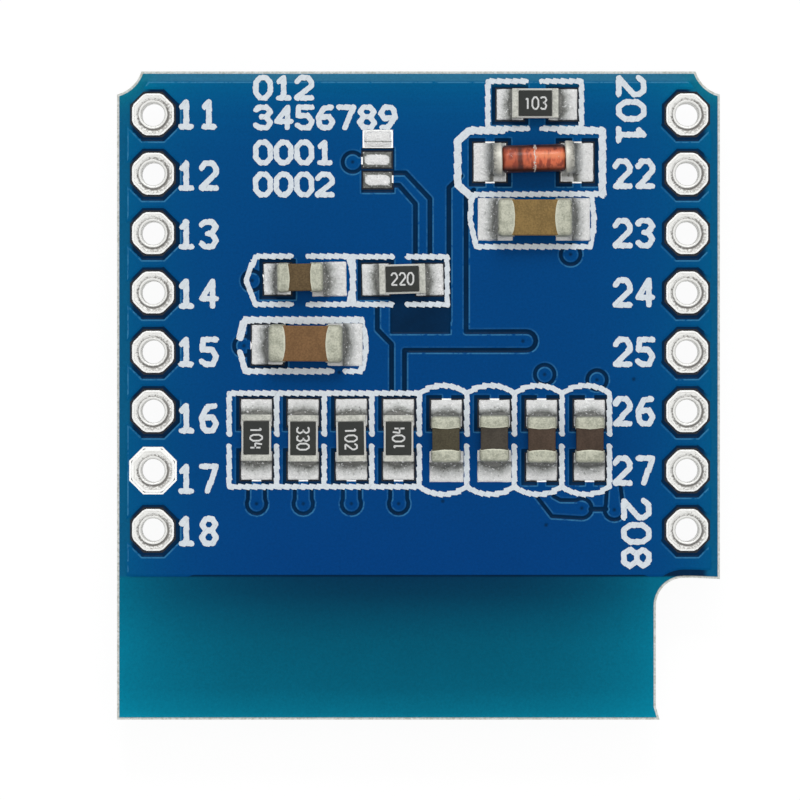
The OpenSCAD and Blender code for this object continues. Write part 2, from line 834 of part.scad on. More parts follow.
// Moisture absorber stuck inside the cap
module getter_sheet() {
  color("#e9e9e4") slab(lit_w, lit_h, 0.15, cap_y, cap_z + pocket_t - 0.15);
}

module driver_chip() {
  color("#3a3f45") slab(8.2, 1.1, 0.3, head_y - ledge + 0.75, films_z);
}

flex_w = 12.6;
flex_low = films_z + flex_t / 2;
flex_high = front_z - 0.02 - flex_t / 2;
flex_r = (flex_high - flex_low) / 2;
flex_bend_y = head_y + 0.35;
flex_end_y = 3.1;
flex_bond = 0.6;
joint_count = 16;
joint_step = 0.7;
joint = [0.36, 1.1];

// Runs out from the ledge, turns round and comes back under the board
module flex_tail() {
  ledge_y = head_y - flex_bond;
  color("#b8752a") translate([grid_x, 0, 0]) rotate([90, 0, 90])
    linear_extrude(flex_w, center = true) {
      translate([ledge_y, flex_low - flex_t / 2]) square([flex_bend_y - ledge_y, flex_t]);
      translate([flex_end_y, flex_high - flex_t / 2]) square([flex_bend_y - flex_end_y, flex_t]);
      translate([flex_bend_y, (flex_low + flex_high) / 2]) intersection() {
        difference() {
          circle(r = flex_r + flex_t / 2);
          circle(r = flex_r - flex_t / 2);
        }
        translate([-eps, -5]) square([10, 10]);
      }
    }
}

module flex_pads_2d() {
  for (i = [0:joint_count - 1])
    translate([(i - (joint_count - 1) / 2) * joint_step, flex_end_y + 0.1 + joint[1] / 2])
      square(joint, center = true);
}

module flex_field_2d(grow) {
  w = (joint_count - 1) * joint_step + joint[0] + 0.4;
  translate([0, flex_end_y + 0.1 + joint[1] / 2])
    square([w + 2 * grow, joint[1] + 0.4 + 2 * grow], center = true);
}

module flex_solder() {
  low = flex_high + flex_t / 2;
  color("#d5d4cf") on_grid() translate([0, 0, low])
    linear_extrude(core_z - copper_t - low) flex_pads_2d();
}

module foam_tape() {
  low = foot_y + 0.5;
  high = flex_end_y - 0.5;
  color("#2a2a2c") slab(glass_w - 1.6, high - low, foam_t, (low + high) / 2, foam_z);
}

// ---- the assembly ----

board_core();
rear_copper();
front_copper();
rear_solder_mask();
front_solder_mask();
barrels_and_lands();
jumper_pads();
rear_silkscreen();
front_silkscreen();
resistor_solder();
capacitor_solder();
diode_solder();
diode_glass();
diode_end_caps();
diode_studs();
diode_die();
polariser();
base_glass();
emitting_films();
edge_seal();
cap_glass();
getter_sheet();
driver_chip();
flex_tail();
flex_solder();
foam_tape();
for (i = [0:len(RESISTORS) - 1]) {
  name = str("resistor_", i + 1, "_");
  resistor_ceramic(RESISTORS[i]);
  resistor_coat(RESISTORS[i]);
  resistor_ends(RESISTORS[i]);
}
for (i = [0:len(CAPACITORS) - 1]) {
  name = str("capacitor_", i + 1, "_");
  capacitor_block(i);
  capacitor_ends(i);
}
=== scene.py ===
# %% [markdown]
# # A small display board, seen from its soldered side
# The real thing is a circuit board the size of a thumbnail, with chip parts soldered on
# one face and a little glass display glued to the other. Each piece looks up the packed
# solid that it finishes and takes its size and place from it. What the solids don't hold,
# such as the vias, the stains, the colours and the light and shade painted into them, is
# given here.

# %% Load the frame
import bpy
import bmesh
import json
import math
import numpy as np
from mathutils import Matrix, Vector, noise
from mathutils.geometry import delaunay_2d_cdt
from mathutils.kdtree import KDTree

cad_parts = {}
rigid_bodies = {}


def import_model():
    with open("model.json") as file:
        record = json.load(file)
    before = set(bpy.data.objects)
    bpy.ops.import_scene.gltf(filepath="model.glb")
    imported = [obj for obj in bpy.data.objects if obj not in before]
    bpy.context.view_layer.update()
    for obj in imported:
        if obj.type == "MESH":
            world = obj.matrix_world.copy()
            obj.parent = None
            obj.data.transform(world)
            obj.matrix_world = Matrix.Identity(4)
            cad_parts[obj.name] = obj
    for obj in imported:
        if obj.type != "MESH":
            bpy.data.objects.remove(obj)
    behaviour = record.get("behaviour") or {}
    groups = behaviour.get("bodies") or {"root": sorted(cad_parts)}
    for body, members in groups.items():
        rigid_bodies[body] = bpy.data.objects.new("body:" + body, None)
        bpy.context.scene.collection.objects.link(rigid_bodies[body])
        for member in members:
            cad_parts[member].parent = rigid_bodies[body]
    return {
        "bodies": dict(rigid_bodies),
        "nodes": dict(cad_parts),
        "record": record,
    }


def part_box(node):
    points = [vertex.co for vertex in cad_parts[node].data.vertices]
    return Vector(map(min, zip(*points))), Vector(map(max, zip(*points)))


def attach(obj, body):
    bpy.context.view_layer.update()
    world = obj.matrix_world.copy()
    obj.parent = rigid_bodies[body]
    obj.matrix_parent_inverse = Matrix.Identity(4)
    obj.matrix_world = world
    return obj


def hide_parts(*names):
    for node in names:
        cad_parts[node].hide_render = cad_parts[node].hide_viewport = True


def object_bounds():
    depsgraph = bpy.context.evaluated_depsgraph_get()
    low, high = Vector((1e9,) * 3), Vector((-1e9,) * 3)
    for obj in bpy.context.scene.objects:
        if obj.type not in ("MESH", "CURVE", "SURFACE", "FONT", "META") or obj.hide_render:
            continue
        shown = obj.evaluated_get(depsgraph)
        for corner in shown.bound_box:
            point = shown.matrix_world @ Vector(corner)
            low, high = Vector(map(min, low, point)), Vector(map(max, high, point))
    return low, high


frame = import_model()
cad_low, cad_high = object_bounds()
mm = 0.001
print("solids:", len(frame["nodes"]))

# %% [markdown]
# The board lies face down on a pale floor, and the camera hangs straight above it. A long
# lens keeps the sides of the chips from leaning outwards, as a short lens would make them.
# The lens decides how far away the camera has to be, so that distance is worked out.

# %% Camera
def linked(name, data):
    """A new object in the scene that holds the given data."""
    item = bpy.data.objects.new(name, data)
    bpy.context.scene.collection.objects.link(item)
    return item


board_low, board_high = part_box("board_core")
mask_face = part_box("rear_solder_mask")[1].z
view_width = 34.23 * mm
view_centre = Vector((-0.79 * mm, -0.19 * mm, 0))
lens, sensor = 300, 36
camera_data = bpy.data.cameras.new("camera")
camera_data.lens = lens
camera_data.sensor_width = sensor
camera_data.clip_start = 0.01
camera = linked("camera", camera_data)
camera.location = view_centre + Vector((0, 0, mask_face + view_width * lens / sensor))
bpy.context.scene.camera = camera
print("camera height:", round(camera.location.z, 3))

# %% [markdown]
# Node trees are long to write by hand, so two small classes do the wiring. A Field is one
# value in a tree, and arithmetic on it adds the Math nodes. A Tree adds any other node from
# its type, its settings and its inputs. The same two serve for finishes and for Geometry
# Nodes, because both kinds of tree work alike.

# %% Fields and trees
class Field:
    """One value inside a node tree; arithmetic on it adds Math nodes."""

    def __init__(self, tree, socket):
        self.tree = tree
        self.socket = socket

    def math(self, operation, *terms):
        settings = {"operation": operation}
        return self.tree.add("ShaderNodeMath", settings, dict(enumerate(terms)))

    def __add__(self, other):
        return self.math("ADD", self, other)

    def __sub__(self, other):
        return self.math("SUBTRACT", self, other)

    def __rsub__(self, other):
        return self.math("SUBTRACT", other, self)

    def __mul__(self, other):
        return self.math("MULTIPLY", self, other)

    def __truediv__(self, other):
        return self.math("DIVIDE", self, other)

    def __pow__(self, other):
        return self.math("POWER", self, other)

    __radd__ = __add__
    __rmul__ = __mul__

    def size(self):
        return self.math("ABSOLUTE", self)

    def sine(self):
        return self.math("SINE", self)

    def lesser(self, other):
        return self.math("MINIMUM", self, other)

    def greater(self, other):
        return self.math("MAXIMUM", self, other)

    def step(self, low, high):
        """0 below low and 1 above high, with a soft change between them."""
        settings = {"interpolation_type": "SMOOTHSTEP"}
        ends = {"Value": self, "From Min": low, "From Max": high}
        return self.tree.add("ShaderNodeMapRange", settings, ends)

    def fade(self, reach):
        """1 at zero, falling away over the given reach."""
        return self.math("EXPONENT", self * (-1.0 / reach))


class Tree:
    """A node tree under construction."""

    def __init__(self, group):
        self.group = group
        self.group.nodes.clear()

    def feed(self, socket, value):
        if isinstance(value, Field):
            self.group.links.new(value.socket, socket)
        elif isinstance(value, tuple) and socket.type == "RGBA" and len(value) == 3:
            socket.default_value = (*value, 1)
        else:
            socket.default_value = value

    def add(self, kind, settings=None, values=None, out=0):
        node = self.group.nodes.new(kind)
        for key, value in (settings or {}).items():
            if key != "stops":
                setattr(node, key, value)
                continue
            elements = node.color_ramp.elements
            elements.remove(elements[-1])
            elements[0].position, elements[0].color = value[0][0], (*value[0][1], 1)
            for place, colour in value[1:]:
                elements.new(place).color = (*colour, 1)
        for key, value in (values or {}).items():
            self.feed(node.inputs[key], value)
        return Field(self, node.outputs[out]) if node.outputs else None

    def given(self, name):
        """The value of one named input of a node group."""
        node = self.group.nodes.new("NodeGroupInput")
        return Field(self, node.outputs[name])

    def split(self, vector):
        """The X, Y and Z of a vector."""
        return [self.add("ShaderNodeSeparateXYZ", None, {0: vector}, k) for k in range(3)]

    def scaled(self, vector, factor):
        return self.add("ShaderNodeVectorMath", {"operation": "SCALE"}, {0: vector, "Scale": factor})

    def seen(self):
        """1 for camera rays, glossy rays and rays through glass, 0 for all others."""
        rays = [self.add("ShaderNodeLightPath", out=f"Is {kind} Ray")
                for kind in ("Camera", "Glossy", "Transmission")]
        return rays[0].greater(rays[1]).greater(rays[2])

    def together(self, first, second):
        both = self.add("GeometryNodeJoinGeometry", None, {0: first})
        self.feed(both.socket.node.inputs[0], second)
        return both

    def deliver(self, geometry):
        """Ends a group of Geometry Nodes: real geometry, with the group's finish on it."""
        solid = self.add("GeometryNodeRealizeInstances", None, {0: geometry})
        done = self.add("GeometryNodeSetMaterial", None,
                        {"Geometry": solid, "Material": self.given("Finish")})
        self.add("NodeGroupOutput", None, {0: done})
        return self


# %% [markdown]
# A Finish is a Tree that ends in a surface. Its patterns are measured in millimetres on the
# object itself, so a grain of 0.1 is a tenth of a millimetre wherever it shows. Numbers that
# are the same all over go straight on the surface's own sockets.

# %% Finishes
class Finish(Tree):
    """A material whose patterns are placed in millimetres on the object."""

    def __init__(self, name):
        self.material = bpy.data.materials.new(name)
        self.material.use_nodes = True
        super().__init__(self.material.node_tree)
        spot = self.add("ShaderNodeTexCoord", out="Object")
        self.spot = self.scaled(spot, 1000)
        self.x, self.y, self.z = self.split(self.spot)

    def stretched(self, x=1, y=1, z=1):
        settings = {"operation": "MULTIPLY"}
        return self.add("ShaderNodeVectorMath", settings, {0: self.spot, 1: (x, y, z)})

    def grain(self, width, detail=2, rough=0.5, where=None):
        """Soft noise from 0 to 1, whose lumps are about the given width."""
        values = {"Vector": where or self.spot, "Scale": 1 / width,
                  "Detail": detail, "Roughness": rough}
        return self.add("ShaderNodeTexNoise", None, values)

    def cells(self, width, feature="F1", where=None):
        settings = {"feature": feature}
        return self.add("ShaderNodeTexVoronoi", settings,
                        {"Vector": where or self.spot, "Scale": 1 / width}, "Distance")

    def blend(self, factor, first, second, kind="MIX"):
        settings = {"data_type": "RGBA", "blend_type": kind}
        return self.add("ShaderNodeMix", settings, {0: factor, 6: first, 7: second}, 2)

    def ramp(self, factor, *stops):
        return self.add("ShaderNodeValToRGB", {"stops": stops}, {0: factor})

    def stored(self, name):
        """A value kept on the points of the piece."""
        return self.add("ShaderNodeAttribute", {"attribute_name": name}, None, "Fac")

    def tinted(self, colour, tone):
        """A colour made lighter or darker by a tone that lies round 1."""
        grey = self.add("ShaderNodeCombineColor", None, {0: tone, 1: tone, 2: tone})
        return self.blend(1.0, colour, grey, "MULTIPLY")

    def bump(self, height, depth):
        values = {"Strength": 1.0, "Distance": depth * mm, "Height": height}
        return self.add("ShaderNodeBump", None, values)

    def close(self, surface):
        self.add("ShaderNodeOutputMaterial", None, {"Surface": surface})
        return self.material

    def done(self, **sockets):
        """Ends in a Principled surface; underscores in the names stand for spaces."""
        names = {key.replace("_", " "): value for key, value in sockets.items()}
        return self.close(self.add("ShaderNodeBsdfPrincipled", None, names))


# %% [markdown]
# The floor is a white sheet. The camera, glossy rays and rays through glass see it as plain
# white, and a small part of it stays ordinary paint, so the object's soft shadow still falls
# on it. That keeps the lamps at a plain level, at which a colour comes out as it is written.

# %% Floor
def floor_finish():
    paper = Finish("floor_paper")
    paint = paper.add("ShaderNodeBsdfDiffuse", None, {"Color": (0.8, 0.8, 0.8)})
    glow = paper.add("ShaderNodeEmission", None, {"Color": (1.0, 1.0, 1.0), "Strength": 1.05})
    both = paper.add("ShaderNodeMixShader", None, {0: paper.seen() * 0.9, 1: paint, 2: glow})
    return paper.close(both)


sheet = bpy.data.meshes.new("floor")
reach = 3.0
sheet.from_pydata([(-reach, -reach, 0), (reach, -reach, 0), (reach, reach, 0), (-reach, reach, 0)],
                  [], [(0, 1, 2, 3)])
sheet.materials.append(floor_finish())
floor = linked("floor", sheet)
floor.location.z = cad_low.z - 0.02 * mm

# %% [markdown]
# The light is that of a small product table: an even pale surround, a broad lamp overhead
# that the flat tin mirrors, and two smaller ones beyond the top edge of the board. Those
# light the slopes that face them, so the shallow steps in the varnish can be seen.

# %% Lamps
def lamp(name, place, size, level):
    """A square lamp that points at the board; level is its brightness where it is seen."""
    data = bpy.data.lights.new(name, "AREA")
    data.size = size
    data.energy = level * math.pi * size * size
    light = linked(name, data)
    light.location = place
    light.rotation_euler = (-Vector(place)).to_track_quat("-Z", "Y").to_euler()


lamp("overhead_lamp", (0.02, 0.06, 0.75), 0.55, 0.85)
lamp("top_edge_lamp", (0.05, 0.40, 0.42), 0.24, 3.9)
lamp("small_lamp", (-0.04, 0.36, 0.46), 0.07, 22)

world = bpy.data.worlds.new("surround")
bpy.context.scene.world = world
world.use_nodes = True
surround = Tree(world.node_tree)
air = surround.add("ShaderNodeBackground", None,
                   {"Color": (1.0, 1.0, 1.0), "Strength": surround.seen() * 0.5 + 0.5})
surround.add("ShaderNodeOutputWorld", None, {"Surface": air})
bpy.context.scene.view_settings.view_transform = "Standard"

# %% [markdown]
# Every piece that is made here goes through one small helper: it gets its finish, it rides
# on the board, and it hides the solids that it stands for.

# %% Placing pieces
BODY = next(iter(frame["bodies"]))


def new_piece(name, points, faces, smooth=True):
    mesh = bpy.data.meshes.new(name)
    mesh.from_pydata([tuple(p) for p in points], [], faces)
    mesh.validate()
    if smooth:
        mesh.shade_smooth()
    return linked(name, mesh)


def seat(piece, finish, slot, *nodes):
    piece.data.materials.clear()
    piece.data.materials.append(finish)
    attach(piece, BODY)
    if nodes:
        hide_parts(*nodes)
    print(piece.name, len(piece.data.polygons), "faces")
    return piece


def refinish(finish, *nodes):
    """Gives CAD nodes whose shape is right a better material."""
    for node in nodes:
        for slot in frame["nodes"][node].material_slots:
            slot.material = finish


def box_of(spots):
    """Lowest and highest corner of a set of points."""
    return [Vector([pick(p[k] for p in spots) for k in range(3)]) for pick in (min, max)]


def turned_to(side):
    """Half a turn for what is drawn on the positive side and belongs on the other."""
    return Matrix.Rotation(0 if side > 0 else math.pi, 4, "Z")


def joined_copy(node):
    """One CAD node as a single skin, with its loose triangles joined up."""
    shape = bmesh.new()
    shape.from_mesh(frame["nodes"][node].data)
    bmesh.ops.remove_doubles(shape, verts=shape.verts, dist=2e-7)
    return shape


# %% [markdown]
# Many pieces start from the outline of a flat face in the model: the edge of the copper, of
# the varnish, of the ink. An edge with a flat face at that height on one side only is part
# of an outline, and walking from edge to edge closes the loops. Keeping the flat face on the
# left while walking makes outer loops run anticlockwise and the loops of holes clockwise.
# Faces and points are kept in dicts, not in sets, because a dict has the same order each run.

# %% Outlines from the model
def flat_edges(node, height, tolerance=3e-6):
    """Directed edges, in millimetres, round the upward faces of a node at one height."""
    shape = joined_copy(node)
    flat = dict.fromkeys(f for f in shape.faces if f.normal.z > 0.99
                         and abs(f.calc_center_median().z - height) < tolerance)
    edges = []
    for face in flat:
        for loop in face.loops:
            if sum(other in flat for other in loop.edge.link_faces) == 1:
                a, b = loop.vert.co, loop.link_loop_next.vert.co
                edges.append(((round(a.x * 1e3, 5), round(a.y * 1e3, 5)),
                              (round(b.x * 1e3, 5), round(b.y * 1e3, 5))))
    shape.free()
    return edges


def chained(edges):
    """Closed loops of points from a set of directed edges."""
    onward = {}
    for a, b in edges:
        onward.setdefault(a, []).append(b)
    loops = []
    while onward:
        start = next(iter(onward))
        loop, here = [start], onward[start].pop()
        if not onward[start]:
            del onward[start]
        while here != start and here in onward:
            loop.append(here)
            following = onward[here].pop()
            if not onward[here]:
                del onward[here]
            here = following
        if len(loop) > 2:
            loops.append(np.array(loop))
    return loops


copper_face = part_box("rear_copper")[1].z
core_face = board_high.z
film = mask_face - copper_face
low_face = core_face + film
copper_loops = chained(flat_edges("rear_copper", copper_face))
upper = flat_edges("rear_solder_mask", mask_face)
lower = flat_edges("rear_solder_mask", low_face)
shared = {(b, a) for a, b in upper} & set(lower)
mask_loops = chained([e for e in upper + lower if e not in shared and e[::-1] not in shared])
print("copper loops:", len(copper_loops), "varnish loops:", len(mask_loops),
      "step edges:", len(shared), "of", len(upper), len(lower))

# %% [markdown]
# A flat region with holes is filled by Delaunay triangulation. The routine fills everything
# out to the convex hull, so the triangles are then sorted: starting from outside, each step
# over a border edge changes from outside to inside or back.

# %% Filling a region
def filled(points, edges, border):
    """Points and anticlockwise triangles inside a region; the first edges are its border."""
    spots = [Vector((float(p[0]), float(p[1]))) for p in points]
    verts, joins, faces, _, source, _ = delaunay_2d_cdt(spots, edges, [], 0, 1e-6)
    walls = {frozenset(e) for e, src in zip(joins, source) if any(k < border for k in src)}
    beside = {}
    for index, face in enumerate(faces):
        for k in range(3):
            beside.setdefault(frozenset((face[k], face[k - 1])), []).append(index)
    inside = [None] * len(faces)
    queue = []
    for edge, pair in beside.items():
        if len(pair) == 1 and inside[pair[0]] is None:
            inside[pair[0]] = edge in walls
            queue.append(pair[0])
    while queue:
        index = queue.pop()
        face = faces[index]
        for k in range(3):
            edge = frozenset((face[k], face[k - 1]))
            for other in beside[edge]:
                if inside[other] is None:
                    inside[other] = inside[index] != (edge in walls)
                    queue.append(other)
    kept = [tuple(f) for f, keep in zip(faces, inside) if keep]
    return np.array([(v.x, v.y) for v in verts]), kept


def loop_edges(start, count):
    return [(start + k, start + (k + 1) % count) for k in range(count)]


def resampled(loop, pitch):
    """The same loop with no stretch longer than the pitch; its corners stay."""
    out = []
    for a, b in zip(loop, np.roll(loop, -1, axis=0)):
        parts = max(1, math.ceil(np.linalg.norm(b - a) / pitch))
        out.extend(a + (b - a) * k / parts for k in range(parts))
    return np.array(out)


def pushed(loop, distance):
    """A loop moved sideways, to the right of its direction."""
    ahead = np.roll(loop, -1, axis=0) - loop
    ahead /= np.maximum(np.linalg.norm(ahead, axis=1, keepdims=True), 1e-9)
    right = np.stack([ahead[:, 1], -ahead[:, 0]], axis=1)
    both = right + np.roll(right, 1, axis=0)
    size = np.linalg.norm(both, axis=1, keepdims=True)
    mitre = 2 * both / np.maximum(size, 0.8) ** 2
    return loop + mitre * distance


def within(points, loops):
    """Whether each point lies inside the loops, by counting crossings."""
    points = np.asarray(points)
    a = np.concatenate(loops)
    b = np.concatenate([np.roll(loop, -1, axis=0) for loop in loops])
    result = np.zeros(len(points), bool)
    for start in range(0, len(points), 2000):
        p = points[start:start + 2000, None, :]
        spans = (a[None, :, 1] > p[:, :, 1]) != (b[None, :, 1] > p[:, :, 1])
        rise = np.where(np.abs(b[:, 1] - a[:, 1]) < 1e-12, 1e-12, b[:, 1] - a[:, 1])
        cross = a[None, :, 0] + (p[:, :, 1] - a[None, :, 1]) * ((b[:, 0] - a[:, 0]) / rise)[None]
        result[start:start + 2000] = (spans & (p[:, :, 0] < cross)).sum(axis=1) % 2 == 1
    return result


# %% [markdown]
# The varnish is printed over the copper as a wet film. It lies a little lower where there is
# no copper under it, and it slumps over each copper edge, so every groove in the copper shows
# as a shallow valley with soft shoulders. The height of each point is therefore a smooth
# function of its distance to the nearest copper edge, and rows of points are laid along both
# shoulders so that the slope is carried by narrow faces and the rest stays flat.

# %% Height of the varnish
shoulder = (-0.015, 0.09)
edge_points = np.concatenate([resampled(loop, 0.02) for loop in copper_loops])
nearest = KDTree(len(edge_points))
for index, (x, y) in enumerate(edge_points):
    nearest.insert((x, y, 0), index)
nearest.balance()


def copper_distance(points):
    """Distance to the copper's edge, negative over the copper, and how far it faces the lamp."""
    found = [nearest.find((x, y, 0)) for x, y in points]
    gap = np.array([hit[2] for hit in found])
    away = np.array([(x - hit[0].x, y - hit[0].y) for (x, y), hit in zip(points, found)])
    side = np.where(within(points, copper_loops), -1, 1)
    facing = (away[:, 1] * 0.85 - away[:, 0] * 0.5) * side / np.maximum(gap, 1e-4)
    return gap * side, facing


ROWS_X = 0.07  # the middle line between the two rows of holes, from which vias are measured
DIMPLE_DEPTH, DIMPLE_R = 0.024, 0.11
RIM_HEIGHT, RIM_R, RIM_WIDTH = 0.006, 0.2, 0.05
VIAS = [(-2.89, 9.99), (6.44, 6.04), (5.33, 0.9), (7.57, 0.67), (-7.19, 4.92), (-7.54, 2.13),
        (6.92, -4.82), (8.31, -4.89), (-7.0, -4.63), (-5.0, -4.63), (-2.94, -4.63),
        (-0.92, -4.63), (9.14, 0.7), (0.97, -4.52), (5.39, -5.54), (-3.46, 0.99), (4.4, 2.33)]


def varnish_height(points, distance):
    """Height over the laminate, in millimetres, with a dimple at every via."""
    low, high = shoulder
    t = np.clip((distance - low) / (high - low), 0, 1)
    cover = 1 - t * t * (3 - 2 * t)
    height = (low_face - core_face) / mm + cover * (mask_face - low_face) / mm
    for x, y in VIAS:
        r = np.hypot(points[:, 0] - x - ROWS_X, points[:, 1] - y)
        height -= DIMPLE_DEPTH * np.exp(-(r / DIMPLE_R) ** 2)
        height += RIM_HEIGHT * np.exp(-((r - RIM_R) / RIM_WIDTH) ** 2)
    return np.clip(height, 0.006, (mask_face - core_face) / mm)


# %% Varnish surface
def rounded(point):
    return round(float(point[0]), 6), round(float(point[1]), 6)


def varnish_piece():
    points, edges = [], []
    for loop in mask_loops:
        loop = resampled(loop, 0.3)
        edges += loop_edges(len(points), len(loop))
        points.extend(loop)
    border = len(edges)
    for offset in (-0.125, -0.085, -0.045, -0.015, 0.02, 0.055, 0.09, 0.12):
        for loop in copper_loops:
            moved = pushed(resampled(loop, 0.12), offset)
            kept = [k for k, p in enumerate(moved)
                    if nearest.find((p[0], p[1], 0))[2] > abs(offset) * 0.93 - 0.0015]
            if len(kept) < 3:
                continue
            first = len(points)
            points.extend(moved[kept])
            edges += [(first + k, first + (k + 1) % len(kept)) for k in range(len(kept))
                      if (kept[(k + 1) % len(kept)] - kept[k]) % len(moved) <= 2]
    for x, y in VIAS:
        for r in (0.0, 0.05, 0.1, 0.15, 0.2, 0.26, 0.32):
            for k in range(16 if r else 1):
                turn = 2 * math.pi * (k + (r * 10 % 2) / 2) / 16
                points.append((x + ROWS_X + r * math.cos(turn), y + r * math.sin(turn)))
    verts, faces = filled(points, edges, border)
    distance, facing = copper_distance(verts)
    heights = varnish_height(verts, distance)
    top = [(x * mm, y * mm, core_face + h * mm) for (x, y), h in zip(verts, heights)]
    rim = {}
    for face in faces:
        for k in range(3):
            a, b = face[k], face[(k + 1) % 3]
            if (b, a) in rim:
                del rim[(b, a)]
            else:
                rim[(a, b)] = True
    foot = {v: len(top) + n for n, v in enumerate(dict.fromkeys(v for e in rim for v in e))}
    top += [(top[v][0], top[v][1], core_face + 0.001 * mm) for v in foot]
    skirt = [(b, a, foot[a], foot[b]) for a, b in rim]
    order = {v: n for n, v in enumerate(foot)}
    under, plan = filled([verts[v] for v in foot], [(order[a], order[b]) for a, b in rim], len(rim))
    below = []
    if len(under) == len(foot):
        lookup = {rounded(Vector(verts[v])): foot[v] for v in foot}
        below = [tuple(lookup[rounded(under[k])] for k in reversed(face)) for face in plan]
    piece = new_piece("rear_varnish", top, faces + skirt + below)
    piece.data.set_sharp_from_angle(angle=math.radians(50))
    reach = 0.3
    for name, values, rest in (("distance", np.clip(distance, -0.2, reach), reach), ("facing", facing, 0)):
        layer = piece.data.attributes.new(name, "FLOAT", "POINT")
        layer.data.foreach_set("value", np.append(values, [rest] * len(foot)))
    return piece


# %% [markdown]
# The varnish is a clear blue film, so its colour says what lies behind it. Over copper it is
# a mid blue, made lighter towards the top of the board and given a painted glow near the
# board's edges. Where both faces are bare it shows the glass cloth of the board. The light
# that enters at the free edges and makes it glow towards teal is painted into the colour,
# and so is the shade of the copper and of the display behind the bare strip, as a dark band
# along the copper's edge. Grooves look almost navy. The pale line along each bank is partly
# thin varnish over the copper's edge and partly a painted highlight, stronger where the bank
# faces the lamp; round the header lands the edge of the dark groove also moves with the way it
# faces the lamp, as painted shade. All of this is worked out from the distances to the edges
# of the copper and of the board.

# %% Varnish finish
strip_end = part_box("rear_copper")[0].y / mm - 0.02
STRIP_DEPTH = 6.2
NOTCH_X = 10.16
CUT_X, CUT_Y, CUT_R = 0.36, 0.44, 1.47  # each cut's arc: its centre lies outside the corner


def board_edges(finish):
    """Distances in from the left, right and top edge and the corner cuts, then the least."""
    left = finish.x - board_low.x / mm
    right = board_high.x / mm - finish.x
    top = board_high.y / mm - finish.y
    spread = (left + CUT_X).lesser(right + CUT_X)
    corner = ((top + CUT_Y) ** 2 + spread * spread) ** 0.5 - CUT_R
    return left, right, top, corner, left.lesser(right).lesser(top).lesser(corner)


